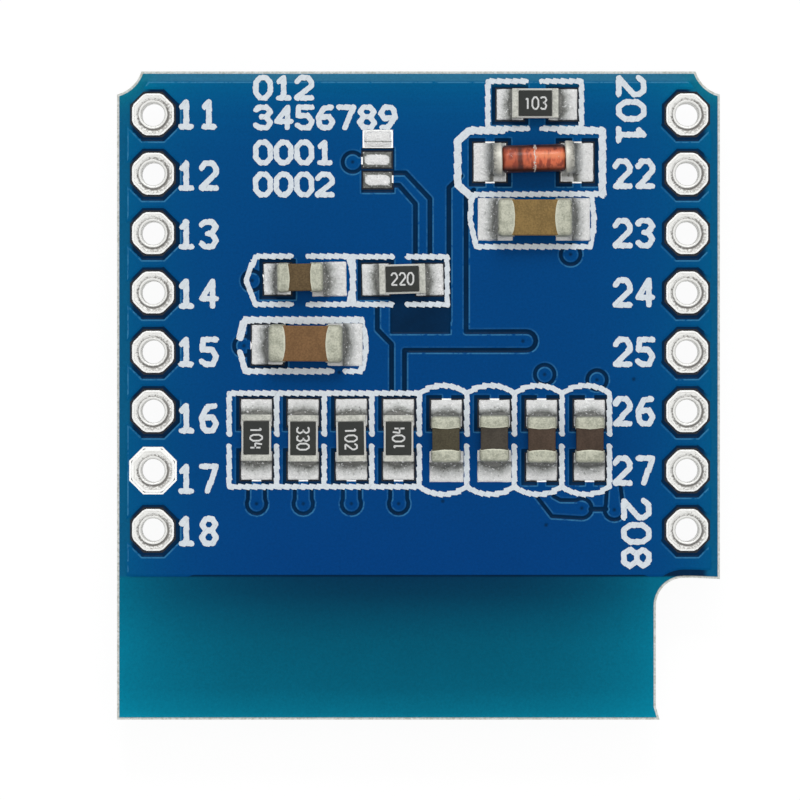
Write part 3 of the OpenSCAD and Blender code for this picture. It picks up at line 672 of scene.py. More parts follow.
def varnish_finish(name, low, high, glow):
    """Blue solder varnish between two heights in millimetres; glow is its sheen.

    Without heights the distance stored on the surface says where copper ends.
    """
    blue = Finish(name)
    left, right, top, corner, edge = board_edges(blue)
    grain = blue.grain(0.11, 3, 0.6)
    cloud = blue.grain(2.6, 3, 0.55)
    streak = blue.grain(1.0, 3, 0.6, blue.stretched(0.25, 4.0, 1.0))
    # The blue over copper is made lighter towards the top of the board.
    copper = blue.ramp((blue.y + 14) / 28, (0.25, (0.0004, 0.0545, 0.232)), (0.5, (0.0004, 0.061, 0.236)),
                       (0.72, (0.0004, 0.0635, 0.242)), (0.87, (0.0004, 0.070, 0.248)),
                       (0.95, (0.0004, 0.080, 0.262)))
    groove = blue.ramp(cloud, (0.3, (0.001, 0.017, 0.052)), (0.7, (0.0014, 0.026, 0.082)))
    # The margin is painted lighter near the top edge and the corner cuts: a painted glow of light that enters
    # there.
    margin_glow = blue.blend(top.step(0.5, 0.3), (0.003, 0.11, 0.245), (0.03, 0.185, 0.33))
    margin_glow = blue.blend(corner.greater(0).fade(0.5), margin_glow, (0.004, 0.20, 0.29))
    bare = blue.blend(edge.step(0.75, 0.45), groove, margin_glow)
    drop = strip_end - blue.y
    # Painted shade and glow on the bare strip: dark next to the copper's edge, where the copper and the
    # display behind it block the light, and lighter towards the lower edge.
    strip = blue.ramp(drop / STRIP_DEPTH, (0.0, (0.0004, 0.034, 0.090)), (0.13, (0.0004, 0.045, 0.103)),
                      (0.3, (0.0005, 0.077, 0.146)), (0.46, (0.0005, 0.102, 0.178)),
                      (0.78, (0.0005, 0.124, 0.208)), (0.95, (0.0006, 0.172, 0.275)),
                      (1.0, (0.0010, 0.22, 0.34)))
    # A painted glow along the left edge and by the notch, where light enters the strip.
    notch = (right - (board_high.x / mm - NOTCH_X)).greater(0)
    side = left.fade(2.9) * 0.125 + notch.fade(2.4) * 0.12
    rays = blue.blend(side * (1 - drop * 0.05), (0.0, 0.0, 0.0), (0.002, 1.0, 1.45))
    strip = blue.blend(1.0, strip, rays, "ADD")
    bare = blue.blend(drop.step(0.0, 0.12), bare, strip)
    if low is None:
        distance, facing = blue.stored("distance"), blue.stored("facing")
        at_land = blue.x.size().step(9.6, 9.9) * blue.x.size().step(13.0, 12.6)
        # Round the header lands the edge of the dark groove moves with how far it faces the lamp: painted
        # shade.
        cover = (distance - at_land * facing.step(0.7, -0.9) * 0.075).step(0.015, -0.015)
        dimple = (blue.z - low_face / mm) / ((mask_face - low_face) / mm)
        cover = cover.lesser(dimple.step(0.2, 0.85).greater(distance.step(-0.1, -0.06)))
    else:
        cover = ((blue.z - low) / (high - low)).step(0.08, 0.72)
    # A painted glow on the blue over copper near the left, right and top edges and the corner cuts.
    near = left.lesser(right).fade(2.0) * 0.055 + top.fade(0.9) * 0.06 + corner.greater(0).fade(0.7) * 0.07
    lit = blue.blend(near, (0.0, 0.0, 0.0), (0.002, 1.0, 0.75))
    copper = blue.blend(1.0, copper, lit, "ADD")
    colour = blue.blend(cover, bare, copper)
    if low is None:
        # The pale bank line: partly thin varnish over the copper's edge, partly a painted highlight that
        # grows where the bank faces the lamp.
        bank_highlight = distance.step(-0.085, -0.05) * distance.step(0.0, -0.025)
        level = (1 - at_land) * (facing * 0.28 + 0.36) + at_land * facing.step(-0.1, 0.7) * 0.65
        bank_highlight = bank_highlight * level * blue.grain(0.25, 3, 0.6).step(0.3, 0.5)
        colour = blue.blend(bank_highlight * (drop + 0.1).step(0.0, -0.1), colour, (0.06, 0.27, 0.48))
    fine = blue.grain(0.05, 1, 0.5)
    tone = 1.0 + (grain - 0.5) * 0.36 + (fine - 0.5) * 0.22 + (cloud - 0.5) * 0.12
    tone = tone + (streak - 0.5) * top.step(5, 0) * 0.2
    waves = blue.grain(0.35, 2, 0.5) * 0.6 + grain * 0.4
    return blue.done(Base_Color=blue.tinted(colour, tone), Roughness=0.26, Specular_IOR_Level=glow,
                     Normal=blue.bump(waves, 0.0025))


rear_blue = varnish_finish("rear_varnish", None, None, 0.02)
seat(varnish_piece(), rear_blue, "solder_mask", "rear_solder_mask")
front_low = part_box("front_solder_mask")[0].z / mm
refinish(varnish_finish("front_varnish", front_low + 0.035, front_low, 0.25), "front_solder_mask")

# %% [markdown]
# The white ink is screen printed as a thick film. Its edges are not smooth: the screen leaves
# a row of slanted notches, so the lines look like twisted rope. The outline of the ink comes
# from the model. Geometry Nodes walks it in small steps, pushes each point in or out with the
# strands of the rope, fills the result and gives it the film's thickness. The digits are run
# on their own, since the notches are shallower there.

# %% Group maker
def node_group(name, **sockets):
    """A Geometry Nodes group with named inputs, given by their defaults."""
    group = bpy.data.node_groups.new(name, "GeometryNodeTree")
    group.interface.new_socket("Geometry", in_out="OUTPUT", socket_type="NodeSocketGeometry")
    group.interface.new_socket("Geometry", in_out="INPUT", socket_type="NodeSocketGeometry")
    kinds = {float: "NodeSocketFloat", int: "NodeSocketInt", tuple: "NodeSocketVector"}
    for key, value in sockets.items():
        kind = kinds.get(type(value), "NodeSocketMaterial")
        made = group.interface.new_socket(key, in_out="INPUT", socket_type=kind)
        if kind != "NodeSocketMaterial":
            made.default_value = value
    return Tree(group)


def baked(name, source, tree, **values):
    """Runs a group on an object and keeps the plain mesh that comes out."""
    modifier = source.modifiers.new(name, "NODES")
    modifier.node_group = tree.group
    for item in tree.group.interface.items_tree:
        if item.in_out == "INPUT" and item.name in values:
            modifier[item.identifier] = values[item.name]
    graph = bpy.context.evaluated_depsgraph_get()
    graph.update()
    mesh = bpy.data.meshes.new_from_object(source.evaluated_get(graph))
    source.modifiers.remove(modifier)
    bpy.data.objects.remove(source)
    mesh.name = name
    return linked(name, mesh)


# %% Ink tree
def ink_tree():
    tree = node_group("printed_ink", Step=0.036, Pitch=0.34, Depth=0.05, Spread=0.015,
                      Thickness=0.03, Height=3.41, Finish=None)
    walk = tree.add("GeometryNodeResampleCurve", {"mode": "LENGTH"},
                    {"Curve": tree.given("Geometry"), "Length": tree.given("Step")})
    spot = tree.add("GeometryNodeInputPosition")
    heading = tree.add("GeometryNodeInputTangent")
    out = tree.add("ShaderNodeVectorMath", {"operation": "CROSS_PRODUCT"},
                   {0: heading, 1: (0.0, 0.0, 1.0)})
    x, y = tree.split(spot)[:2]
    side_x, side_y = tree.split(out)[:2]
    lumps = tree.add("ShaderNodeTexNoise", None, {"Vector": spot, "Scale": 9.0, "Detail": 3.0})
    phase = (x - y * 0.7 + (lumps - 0.5) * 0.1) / tree.given("Pitch")
    tooth = phase.math("FRACT", phase) - 0.5
    lean = side_x * 0.7 - side_y
    push = tooth * lean * tree.given("Depth") + (lumps - 0.5) * 0.06 + tree.given("Spread")
    edge = tree.add("GeometryNodeSetPosition", None,
                    {"Geometry": walk, "Offset": tree.scaled(out, push)})
    face = tree.add("GeometryNodeFillCurve", {"mode": "TRIANGLES"}, {"Curve": edge})
    depth = tree.add("ShaderNodeCombineXYZ", None, {2: tree.given("Thickness")})
    raised = tree.add("GeometryNodeExtrudeMesh", {"mode": "FACES"},
                      {"Mesh": face, "Offset": depth, "Offset Scale": 1.0, "Individual": False})
    both = tree.together(tree.add("GeometryNodeFlipFaces", None, {0: face}), raised)
    whole = tree.add("GeometryNodeMergeByDistance", None, {"Geometry": both, "Distance": 0.0005})
    level = tree.add("ShaderNodeCombineXYZ", None, {2: tree.given("Height") * 0.001})
    placed = tree.add("GeometryNodeTransform", None,
                      {"Geometry": whole, "Translation": level, "Scale": (0.001, 0.001, 0.001)})
    return tree.deliver(placed)


def ink_finish():
    ink = Finish("white_ink")
    phase = (ink.x - ink.y * 0.7 + (ink.grain(0.4, 2) - 0.5) * 0.12) * (math.pi / 0.34)
    scratch = phase.sine().size().step(0.25, 0.0) * ink.grain(0.2, 2, 0.6).step(0.4, 0.62)
    grain = ink.grain(0.05, 3, 0.6)
    blot = ink.grain(0.16, 3, 0.6)
    tone = 1.0 + (grain - 0.5) * 0.3 + (blot - 0.5) * 0.3 - scratch * 0.2
    base = ink.blend(ink.grain(1.2, 2, 0.5), (0.73, 0.81, 0.88), (0.80, 0.85, 0.89))
    colour = ink.tinted(base, tone)
    relief = grain * 0.5 - scratch * 0.8
    return ink.done(Base_Color=colour, Roughness=0.55, Specular_IOR_Level=0.2,
                    Normal=ink.bump(relief, 0.008))


def outline_curve(loops):
    data = bpy.data.curves.new("outline", "CURVE")
    data.dimensions = "3D"
    for loop in loops:
        spline = data.splines.new("POLY")
        spline.points.add(len(loop) - 1)
        spline.points.foreach_set("co", np.c_[loop, np.zeros(len(loop)), np.ones(len(loop))].ravel())
        spline.use_cyclic_u = True
    return linked("outline", data)


white_ink = ink_finish()
ink_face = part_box("rear_silkscreen")[1].z
ink_loops = chained(flat_edges("rear_silkscreen", ink_face))
ink_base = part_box("rear_silkscreen")[0].z
ink_thickness = (ink_face - ink_base) / mm
longest_digit = 1.35
digits = [np.ptp(loop, axis=0).max() < longest_digit for loop in ink_loops]
for name, chosen, depth, spread in (("ink_frames", False, 0.065, -0.008),
                                    ("ink_digits", True, 0.035, -0.004)):
    loops = [loop for loop, small in zip(ink_loops, digits) if small == chosen]
    print_run = baked(name, outline_curve(loops), ink_tree(), Depth=depth, Spread=spread,
                      Thickness=ink_thickness, Height=ink_base / mm, Finish=white_ink)
    print_run.data.shade_flat()
    seat(print_run, white_ink, "ink", "rear_silkscreen")
refinish(white_ink, "front_silkscreen")

# %% [markdown]
# Bare metal on the board is tin: a thin bright coat on the header lands, and solder lumps on
# the pads. Fresh tin is nearly white with a fine frosty grain, and it goes grey and speckled
# where flux was. On the solder a painted shade also greys it where the surface is steep, and
# painted glints fleck it white.

# %% Tin
def tin_finish(name, rough, dull, speck=0.05):
    """Bright tin; dull is how much of it has gone grey."""
    tin = Finish(name)
    frost = tin.grain(speck, 4, 0.7)
    cloud = tin.grain(0.35, 3, 0.6)
    spots = tin.cells(0.085)
    grey = (frost * 0.6 + cloud * 0.4).step(0.62 - dull * 0.3, 0.42 - dull * 0.3)
    colour = tin.blend(grey, (0.86, 0.86, 0.84), (0.42, 0.42, 0.40))
    colour = tin.blend(spots.step(0.16, 0.05) * frost.step(0.5, 0.62), colour, (0.10, 0.10, 0.10))
    relief = frost * 0.7 + cloud * 0.6
    return tin.done(Base_Color=colour, Metallic=0.72, Roughness=(frost - 0.5) * 0.3 + rough,
                    Normal=tin.bump(relief, 0.012))


def solder_finish():
    """Solder: grey and speckled where it climbs a part, the grey being painted shade, and frosty white
    towards the pad's edge, with painted glints.
    """
    melt = Finish("solder")
    reach = melt.stored("reach")
    frost = melt.grain(0.05, 4, 0.75)
    cloud = melt.grain(0.3, 3, 0.65)
    patch = melt.grain(0.14, 3, 0.6)
    # The stored reach sets the tone: dark where it is low, bright where it is high. On the fillets the dark
    # part is painted shade where the solder climbs the part.
    ragged = reach + (cloud - 0.5) * 0.28 + (patch - 0.5) * 0.14
    reach_tone_and_shade = melt.ramp(ragged, (0.0, (0.20, 0.20, 0.185)), (0.05, (0.115, 0.12, 0.11)),
                      (0.14, (0.235, 0.24, 0.225)), (0.25, (0.42, 0.43, 0.415)), (0.4, (0.62, 0.63, 0.62)),
                      (0.62, (0.76, 0.765, 0.76)), (1.0, (0.80, 0.80, 0.795)))
    tone = 1.0 + (frost - 0.5) * 0.6 + (patch - 0.5) * 0.3
    colour = melt.tinted(reach_tone_and_shade, tone)
    fleck = melt.grain(0.11, 2, 0.6)
    spots = fleck.step(0.6, 0.7) * (1 - reach.step(0.25, 0.75))
    colour = melt.blend(spots * 0.7, colour, (0.07, 0.075, 0.065))
    # Painted glints: small white flecks.
    glint_flakes = fleck.step(0.4, 0.3) * cloud.step(0.38, 0.5)
    colour = melt.blend(glint_flakes * 0.8, colour, (1.0, 1.0, 1.0))
    relief = frost * 0.5 + patch * 0.9 + cloud * 1.2
    return melt.done(Base_Color=colour, Metallic=0.3, Roughness=(frost - 0.5) * 0.4 + 0.45,
                     Normal=melt.bump(relief, 0.06))


def land_finish(centre, gap, pitch):
    """Nearly white tin, with a dark speckled ring where the lip of each hole begins; it is
    partly the tin's own dark speckle and partly painted shade, heavier towards the lower right.
    A painted dark line and a painted highlight run round the rounded edge of each octagon.
    """
    tin = Finish("land_tin")
    frost = tin.grain(0.045, 4, 0.75)
    cloud = tin.grain(0.28, 3, 0.65)
    u = tin.x - centre.x
    across = u.size() - gap / 2
    rows = (tin.y - centre.y) / pitch
    along = (rows - rows.math("FLOOR", rows) - 0.5) * pitch
    r = (across * across + along * along) ** 0.5
    # Weight for painted shade towards the lower right side of each hole.
    lower_right_shade = (u / (u.size() + 0.001) * across - along) / (r + 0.001) * 0.5 + 0.5
    tone = 1.0 + (frost - 0.5) * 0.3 + (cloud - 0.5) * 0.2
    # A painted dark line just inside the octagon's rounded edge, and a painted highlight on the edge itself.
    facet = across.size().greater(along.size()).greater((across.size() + along.size()) * 0.7071)
    rim = 1 - (facet - 0.8).size().step(0.0, 0.035)
    colour = tin.blend(rim * cloud.step(0.35, 0.6) * 0.45, (0.80, 0.80, 0.775), (0.38, 0.37, 0.335))
    colour = tin.blend(facet.step(0.82, 0.84), colour, (0.90, 0.90, 0.88))
    colour = tin.tinted(colour, tone)
    speck = tin.grain(0.085, 2, 0.6)
    # The dark ring where the lip begins: partly the tin's own speckle, partly painted shade heavier towards
    # the lower right.
    ring = 1 - (r - 0.66 + (cloud - 0.5) * 0.08).size().step(0.02, 0.085)
    # A thin dark line in the crease of the lip: painted shade.
    line = (1 - (r - 0.64 + (cloud - 0.5) * 0.03).size().step(0.012, 0.034)) * 0.5
    colour = tin.blend(line, colour, (0.16, 0.155, 0.14))
    ragged = (speck + lower_right_shade * 0.22).step(0.48, 0.62)
    colour = tin.blend(ring * (ragged * 0.6 + 0.26), colour, (0.10, 0.093, 0.085))
    # A second speckled dark ring further out, partly the tin's own speckle and partly painted shade towards
    # the lower right.
    outer = 1 - (r - 0.75 + (cloud - 0.5) * 0.12).size().step(0.03, 0.12)
    outer = outer * (speck + lower_right_shade * 0.18).step(0.62, 0.74) * 0.6
    colour = tin.blend(outer, colour, (0.16, 0.145, 0.125))
    return tin.done(Base_Color=colour, Metallic=0.35, Roughness=(frost - 0.5) * 0.3 + 0.4,
                    Normal=tin.bump(frost * 0.6 + cloud, 0.016))


bright_tin = tin_finish("bright_tin", 0.34, 0.0)
solder = solder_finish()

# %% [markdown]
# The header holes stand in two rows. Each has an octagonal land on both faces, joined by a
# plated barrel. The tin on a land is levelled with hot air, which leaves a soft lip round the
# hole and rounds the eight edges. One land is modelled as rings of points, from the barrel
# out to the octagon, and Geometry Nodes repeats it along both rows. The ground hole's land
# is then drawn out a little, because no gap is left round it.

# %% One land
def land_mesh(across, hole_r, core_half, height, turns=64):
    """A plated hole with lands on both faces, centred on its own middle, in millimetres."""
    profile = [(0.0, -0.055), (0.012, -0.02), (0.035, 0.002), (0.075, 0.012), (0.115, 0.010),
               (0.15, -0.004), (0.175, -0.012), (0.205, -0.010), (0.24, 0.0)]
    steps = [("r", hole_r + a, height + b) for a, b in profile]
    steps += [("o", t, height) for t in (0.55, 0.78, 0.9)]
    steps += [("o", 0.955, height - 0.004), ("o", 0.985, height - 0.018), ("o", 1.0, height - 0.04),
              ("o", 1.0, 0.0)]
    points, faces = [], []
    inner = hole_r + profile[-1][0]
    for side in (1, -1):
        for kind, t, h in steps:
            for k in range(turns):
                a = 2 * math.pi * k / turns
                fold = (a + math.pi / 8) % (math.pi / 4) - math.pi / 8
                edge = across / 2 / math.cos(fold)
                edge -= 0.035 * max(0, abs(fold) / (math.pi / 8) - 0.8) / 0.2
                r = t if kind == "r" else inner + (edge - inner) * t
                points.append((r * math.cos(a), r * math.sin(a), side * (core_half + h)))
    count = len(steps)
    for part in range(2):
        for ring in range(count - 1):
            for k in range(turns):
                a = (part * count + ring) * turns + k
                b = (part * count + ring) * turns + (k + 1) % turns
                face = (a, b, b + turns, a + turns)
                faces.append(face[::-1] if part == 0 else face)
    for first, second in ((0, count), (count - 1, 2 * count - 1)):
        for k in range(turns):
            a, b = first * turns + k, first * turns + (k + 1) % turns
            c, d = second * turns + (k + 1) % turns, second * turns + k
            faces.append((a, b, c, d) if first == 0 else (d, c, b, a))
    return points, faces


# %% Rows of lands
def row_tree():
    tree = node_group("header_rows", Count=8, Pitch=2.54, Gap=22.86, Centre=(0.0, 0.0, 0.0),
                      Finish=None)
    pitch, gap = tree.given("Pitch") * 0.001, tree.given("Gap") * 0.001
    down = tree.add("ShaderNodeCombineXYZ", None, {1: pitch * -1})
    rows = []
    for side in (-0.5, 0.5):
        half = (tree.given("Count") - 1) * pitch * 0.5
        start = tree.add("ShaderNodeCombineXYZ", None, {0: gap * side, 1: half})
        start = tree.add("ShaderNodeVectorMath", {"operation": "ADD"},
                         {0: start, 1: tree.given("Centre")})
        rows.append(tree.add("GeometryNodeMeshLine", None, {"Count": tree.given("Count"),
                                                            "Start Location": start, "Offset": down}))
    both = tree.together(*rows)
    spread = tree.add("GeometryNodeInstanceOnPoints", None,
                      {"Points": both, "Instance": tree.given("Geometry")})
    return tree.deliver(spread)


holes = sorted((m for m in frame["record"]["mounts"] if m["kind"] == "bore"),
               key=lambda m: (m["pos_m"][0], -m["pos_m"][1]))
hole_places = [Vector(m["pos_m"]) for m in holes]
pitch = (hole_places[0] - hole_places[1]).length / mm
gap = (hole_places[8] - hole_places[0]).length / mm
middle = sum(hole_places, Vector()) / len(hole_places)
core_half = (board_high.z - board_low.z) / mm / 2
land_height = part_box("barrels_and_lands")[1].z / mm - core_face / mm
hole_r = holes[0]["dims"]["r_mm"]
LAND_ACROSS, GROUND_ACROSS = 1.8, 1.88
points, faces = land_mesh(LAND_ACROSS, hole_r, core_half, land_height - 0.012)
one_land = new_piece("one_land", np.array(points) * mm, faces)
land_tin = land_finish(middle / mm, gap, pitch)
lands = baked("header_lands", one_land, row_tree(), Pitch=pitch, Gap=gap,
              Centre=tuple(middle), Finish=land_tin)
ground = hole_places[6]
flat_part, beyond_land = 0.78 * mm, 1.2 * mm
for vert in lands.data.vertices:
    away = (vert.co - ground).to_2d()
    if flat_part < away.length < beyond_land:
        vert.co.xy = ground.xy + away * (GROUND_ACROSS / LAND_ACROSS)
lands.data.shade_smooth()
seat(lands, land_tin, "tinned_copper", "barrels_and_lands")

# %% [markdown]
# The chip parts sit a little askew, as the placing machine left them. Each is finished in its
# own frame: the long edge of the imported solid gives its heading, and the farthest points
# along and across that heading give its size.

# %% Where a part sits
class Stance:
    """Centre, heading and half sizes of a box-shaped solid, in millimetres."""

    def __init__(self, node):
        shape = joined_copy(node)
        level = [e for e in shape.edges if abs(e.verts[0].co.z - e.verts[1].co.z) < 1e-7
                 and e.calc_face_angle(0) > 0.5]
        longest = max(level, key=lambda e: round(e.calc_length(), 6))
        run = longest.verts[1].co - longest.verts[0].co
        if run.x + run.y < 0:
            run = -run
        turn = Matrix.Rotation(math.atan2(run.y, run.x), 4, "Z")
        shape.free()
        self.place = turn
        low, high = self.reach(node)
        self.half = (high - low) / 2
        self.centre = turn @ ((low + high) / 2)
        self.place = Matrix.Translation(self.centre) @ turn

    def reach(self, node):
        """Lowest and highest corner of a node in this part's own frame."""
        back = self.place.inverted()
        return box_of([back @ (v.co / mm) for v in frame["nodes"][node].data.vertices])

    def world(self, points):
        return [(self.place @ Vector(p)) * mm for p in points]


class Heap:
    """Collects the points and faces of several shapes for one mesh, with a value per point."""

    def __init__(self):
        self.points, self.faces, self.values = [], [], []

    def take(self, points, faces, values=None):
        first = len(self.points)
        self.points += list(points)
        self.faces += [tuple(first + k for k in face) for face in faces]
        self.values += list(values) if values else [0.0] * len(points)

    def piece(self, name, smooth=40):
        made = new_piece(name, self.points, self.faces)
        made.data.set_sharp_from_angle(angle=math.radians(smooth))
        layer = made.data.attributes.new("reach", "FLOAT", "POINT")
        layer.data.foreach_set("value", self.values)
        return made


# %% [markdown]
# A solder lump is a height field over its pad. It is thin at the outer edge of the pad and
# sweeps up in a hollow curve to the end of the part, highest in the middle. Molten solder
# pulls its corners round and wets the pad right to its edge, so the outline is almost square
# but never quite straight.

# %% Lumps on pads
def sheet_faces(rows, columns):
    return [(r * columns + c, (r + 1) * columns + c, (r + 1) * columns + c + 1, r * columns + c + 1)
            for r in range(rows - 1) for c in range(columns - 1)]


def lump(u_stops, half, height, base, seed, closed=False):
    """A closed height field; u_stops run inwards to outwards, height(u, v) is over the base."""
    v_stops = [half * k for k in (-1, -0.975, -0.93, -0.85, -0.7, -0.5, -0.3, -0.1, 0.1, 0.3, 0.5,
                                  0.7, 0.85, 0.93, 0.975, 1)]
    low_u, high_u = u_stops[0], u_stops[-1]
    points, values = [], []
    for u in u_stops:
        for v in v_stops:
            edge = min(high_u - u, half - abs(v), u - low_u if closed else 1)
            fall = min(1, max(0, edge / 0.06)) ** 0.5
            corner = max(0, abs(v) - half + 0.1) * max(0, u - high_u + 0.1)
            lift = noise.noise(Vector((u * 5, v * 5, seed))) * 0.016
            lift += noise.noise(Vector((u * 12, v * 12, seed + 9))) * 0.008
            h, shade = height(u, v)
            h = max(0.012, (h + lift) * (0.4 + 0.6 * fall))
            out = (u - low_u) / (high_u - low_u)
            du = 0.02 * noise.noise(Vector((v * 4, seed, 2))) * out
            dv = 0.02 * noise.noise(Vector((u * 4, seed, 5))) * abs(v) / half
            points.append((u + du, (v + dv) * (1 - corner * 3), base + h))
            values.append(shade)
    rows, columns = len(u_stops), len(v_stops)
    faces = sheet_faces(rows, columns)
    rim = ([c for c in range(columns)] + [r * columns + columns - 1 for r in range(1, rows)]
           + [(rows - 1) * columns + c for c in range(columns - 2, -1, -1)]
           + [r * columns for r in range(rows - 2, 0, -1)])
    first = len(points)
    points += [(points[k][0], points[k][1], base) for k in rim]
    values += [values[k] for k in rim]
    for n, k in enumerate(rim):
        m = (n + 1) % len(rim)
        faces.append((k, rim[m], first + m, first + n))
    faces.append(tuple(range(first + len(rim) - 1, first - 1, -1)))
    return points, [f[::-1] for f in faces], values


def fillet_height(face, high_u, climb, toe, half, seed):
    """Height of a fillet that sweeps up to a part's end at u = face, and its painted brightness, dark as
    painted shade where it climbs.
    """
    def height(u, v):
        if u < face - 0.002:
            return toe * 0.7, 0.7
        s = (u - face) / (high_u - face)
        bow = 0.3 * (1 - (v / half) ** 2) - 0.08 + 0.16 * noise.noise(Vector((v * 2.5, seed, 7)))
        crown = 1 - 0.22 * (abs(v) / half) ** 3
        rise = max(0, 1 - s / (0.8 + bow)) ** 2.3
        return toe + (climb * crown - toe) * rise, min(1, max(0, s - bow * 0.8))
    return height


FIELD_SPREAD, FIELD_BACK, PAD_SPREAD = 0.085, 0.07, 0.012


def end_lumps(heap, stance, ends, pads, base, climb, inner, spread=(), toe=0.06):
    """Two lumps at the ends of a part; pads holds the pads' boxes in the part's frame.

    A pad that lies on the copper field has no gap round it, so there the solder spreads to
    the edge of the opening in the varnish; spread lists the sides where it does.
    """
    for side, (pad_low, pad_high) in pads.items():
        face = ends[1].x if side > 0 else -ends[0].x
        more = FIELD_SPREAD if side in spread else PAD_SPREAD
        high_u = (pad_high.x if side > 0 else -pad_low.x) + more
        run = high_u - face
        back = inner - (FIELD_BACK if side in spread else 0)
        stops = [back, back + 0.05, face - 0.15, face - 0.004, face]
        stops += [face + run * t for t in (0.05, 0.1, 0.16, 0.22, 0.29, 0.36, 0.44, 0.53, 0.63, 0.74,
                                           0.85, 0.93, 0.97, 1)]
        half = (pad_high.y - pad_low.y) / 2 + more
        middle = (pad_high.y + pad_low.y) / 2
        seed = stance.centre.x * 3.7 + stance.centre.y * 1.3 + side
        grip = climb * (1 + 0.18 * noise.noise(Vector((seed, 1, 1))))
        shape = fillet_height(face, high_u, grip, toe, half, seed)
        points, faces, values = lump(stops, half, shape, base, seed)
        flip = turned_to(side)
        centre = middle if side > 0 else -middle
        local = [flip @ Vector((p[0], p[1] + centre, p[2])) for p in points]
        heap.take(stance.world(local), faces, values)


def islands(node):
    """The vertices of each separate solid of a node, in millimetres."""
    shape = joined_copy(node)
    left, groups = dict.fromkeys(shape.verts), []
    while left:
        queue, group = [left.popitem()[0]], []
        while queue:
            vert = queue.pop()
            group.append(vert.co / mm)
            for edge in vert.link_edges:
                other = edge.other_vert(vert)
                if other in left:
                    del left[other]
                    queue.append(other)
        groups.append(group)
    shape.free()
    return groups


def pads_of(stance, groups):
    """The lumps that belong to a part, by side, as boxes in its frame."""
    found = {}
    back = stance.place.inverted()
    for group in groups:
        low, high = box_of([back @ p for p in group])
        middle = (low + high) / 2
        if abs(middle.y) < 0.6 and abs(middle.x) < stance.half.x + 1.2:
            found[1 if middle.x > 0 else -1] = (low, high)
    return found


class Large:
    """Sizes of the solder and the metal ends of a large capacitor, in millimetres."""
    climb, inner, band, radius, bulge = 0.62, 1.01, 0.61, 0.2, 0.1


class Small:
    """The same for a small one."""
    climb, inner, band, radius, bulge = 0.46, 0.58, 0.47, 0.15, 0.06


def kind_of(stance):
    return Large if stance.half.x > 1.2 else Small


ON_FIELD = {1: (1, -1), 2: (1,), 3: (1,), 4: (-1,), 5: (-1,)}
solder_base = copper_face / mm
resistors = {n: Stance(f"resistor_{n}_ceramic") for n in range(1, 7)}
capacitors = {n: Stance(f"capacitor_{n}_block") for n in range(1, 8)}
heap = Heap()
groups = islands("resistor_solder")
for number, stance in resistors.items():
    ends = stance.reach(f"resistor_{number}_ends")
    end_lumps(heap, stance, ends, pads_of(stance, groups), solder_base - stance.centre.z, 0.33, 0.58)
seat(heap.piece("resistor_lumps"), solder, "solder", "resistor_solder")
heap = Heap()
groups = islands("capacitor_solder")
for number, stance in capacitors.items():
    ends = stance.reach(f"capacitor_{number}_ends")
    end_lumps(heap, stance, ends, pads_of(stance, groups), solder_base - stance.centre.z,
              kind_of(stance).climb, kind_of(stance).inner, ON_FIELD.get(number, ()))
seat(heap.piece("capacitor_lumps"), solder, "solder", "capacitor_solder")

# %% [markdown]
# A chip resistor is a white ceramic tile with a black glaze on top and a metal wrap over each
# end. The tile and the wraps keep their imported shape, with their edges softened, because the
# real ones are fired and tumbled.

# %% Softened copies
def softened(node, name, width, segments=3):
    """A copy of a CAD node whose edges are rounded, in its place."""
    shape = joined_copy(node)
    bmesh.ops.dissolve_limit(shape, angle_limit=math.radians(1), verts=shape.verts, edges=shape.edges)
    mesh = bpy.data.meshes.new(name)
    shape.to_mesh(mesh)
    shape.free()
    piece = linked(name, mesh)
    round_off = piece.modifiers.new("rounding", "BEVEL")
    round_off.width = width * mm
    round_off.segments = segments
    round_off.harden_normals = True
    round_off.limit_method = "ANGLE"
    mesh.shade_smooth()
    return piece


# %% Ceramic, glaze and wraps
def ceramic_finish():
    tile = Finish("white_ceramic")
    grain = tile.grain(0.05, 3, 0.6)
    colour = tile.blend(grain, (0.60, 0.60, 0.56), (0.74, 0.74, 0.70))
    return tile.done(Base_Color=colour, Roughness=0.55, Specular_IOR_Level=0.3,
                     Normal=tile.bump(grain, 0.008))


def glaze_finish():
    glaze = Finish("black_glaze")
    grain = glaze.grain(0.045, 3, 0.65)
    cloud = glaze.grain(0.5, 2, 0.5)
    colour = glaze.blend(grain * 0.6 + cloud * 0.4, (0.022, 0.025, 0.023), (0.050, 0.053, 0.049))
    return glaze.done(Base_Color=colour, Roughness=0.42, Specular_IOR_Level=0.12,
                      Normal=glaze.bump(grain * 0.5 + cloud, 0.012))


def wrap_finish(name, pale, dark, metal=0.25, rim=0.0):
    """Tinned ends of a part, dull and sandy. The stored reach paints light and shade on them: a
    painted highlight where it is high, painted shade where it is low; rim sets how strong.
    """
    wrap = Finish(name)
    reach = wrap.stored("reach")
    sand = wrap.grain(0.08, 4, 0.7)
    cloud = wrap.grain(0.3, 3, 0.6)
    colour = wrap.blend((sand * 0.6 + cloud * 0.4).step(0.38, 0.6), dark, pale)
    pits = wrap.cells(0.12).step(0.13, 0.05) * cloud.step(0.5, 0.6)
    # Painted highlight where reach is high and painted shade where it is low, both scaled by rim.
    colour = wrap.blend(reach * rim, colour, tuple(min(1, 1.45 * c) for c in pale))
    colour = wrap.blend((reach * -1 + cloud * 0.3 - 0.15) * rim * 0.75, colour, tuple(0.5 * c for c in dark))
    colour = wrap.blend(pits * 0.6, colour, (0.12, 0.12, 0.10))
    return wrap.done(Base_Color=colour, Metallic=metal, Roughness=0.46,
                     Normal=wrap.bump(sand + cloud * 0.5, 0.012))


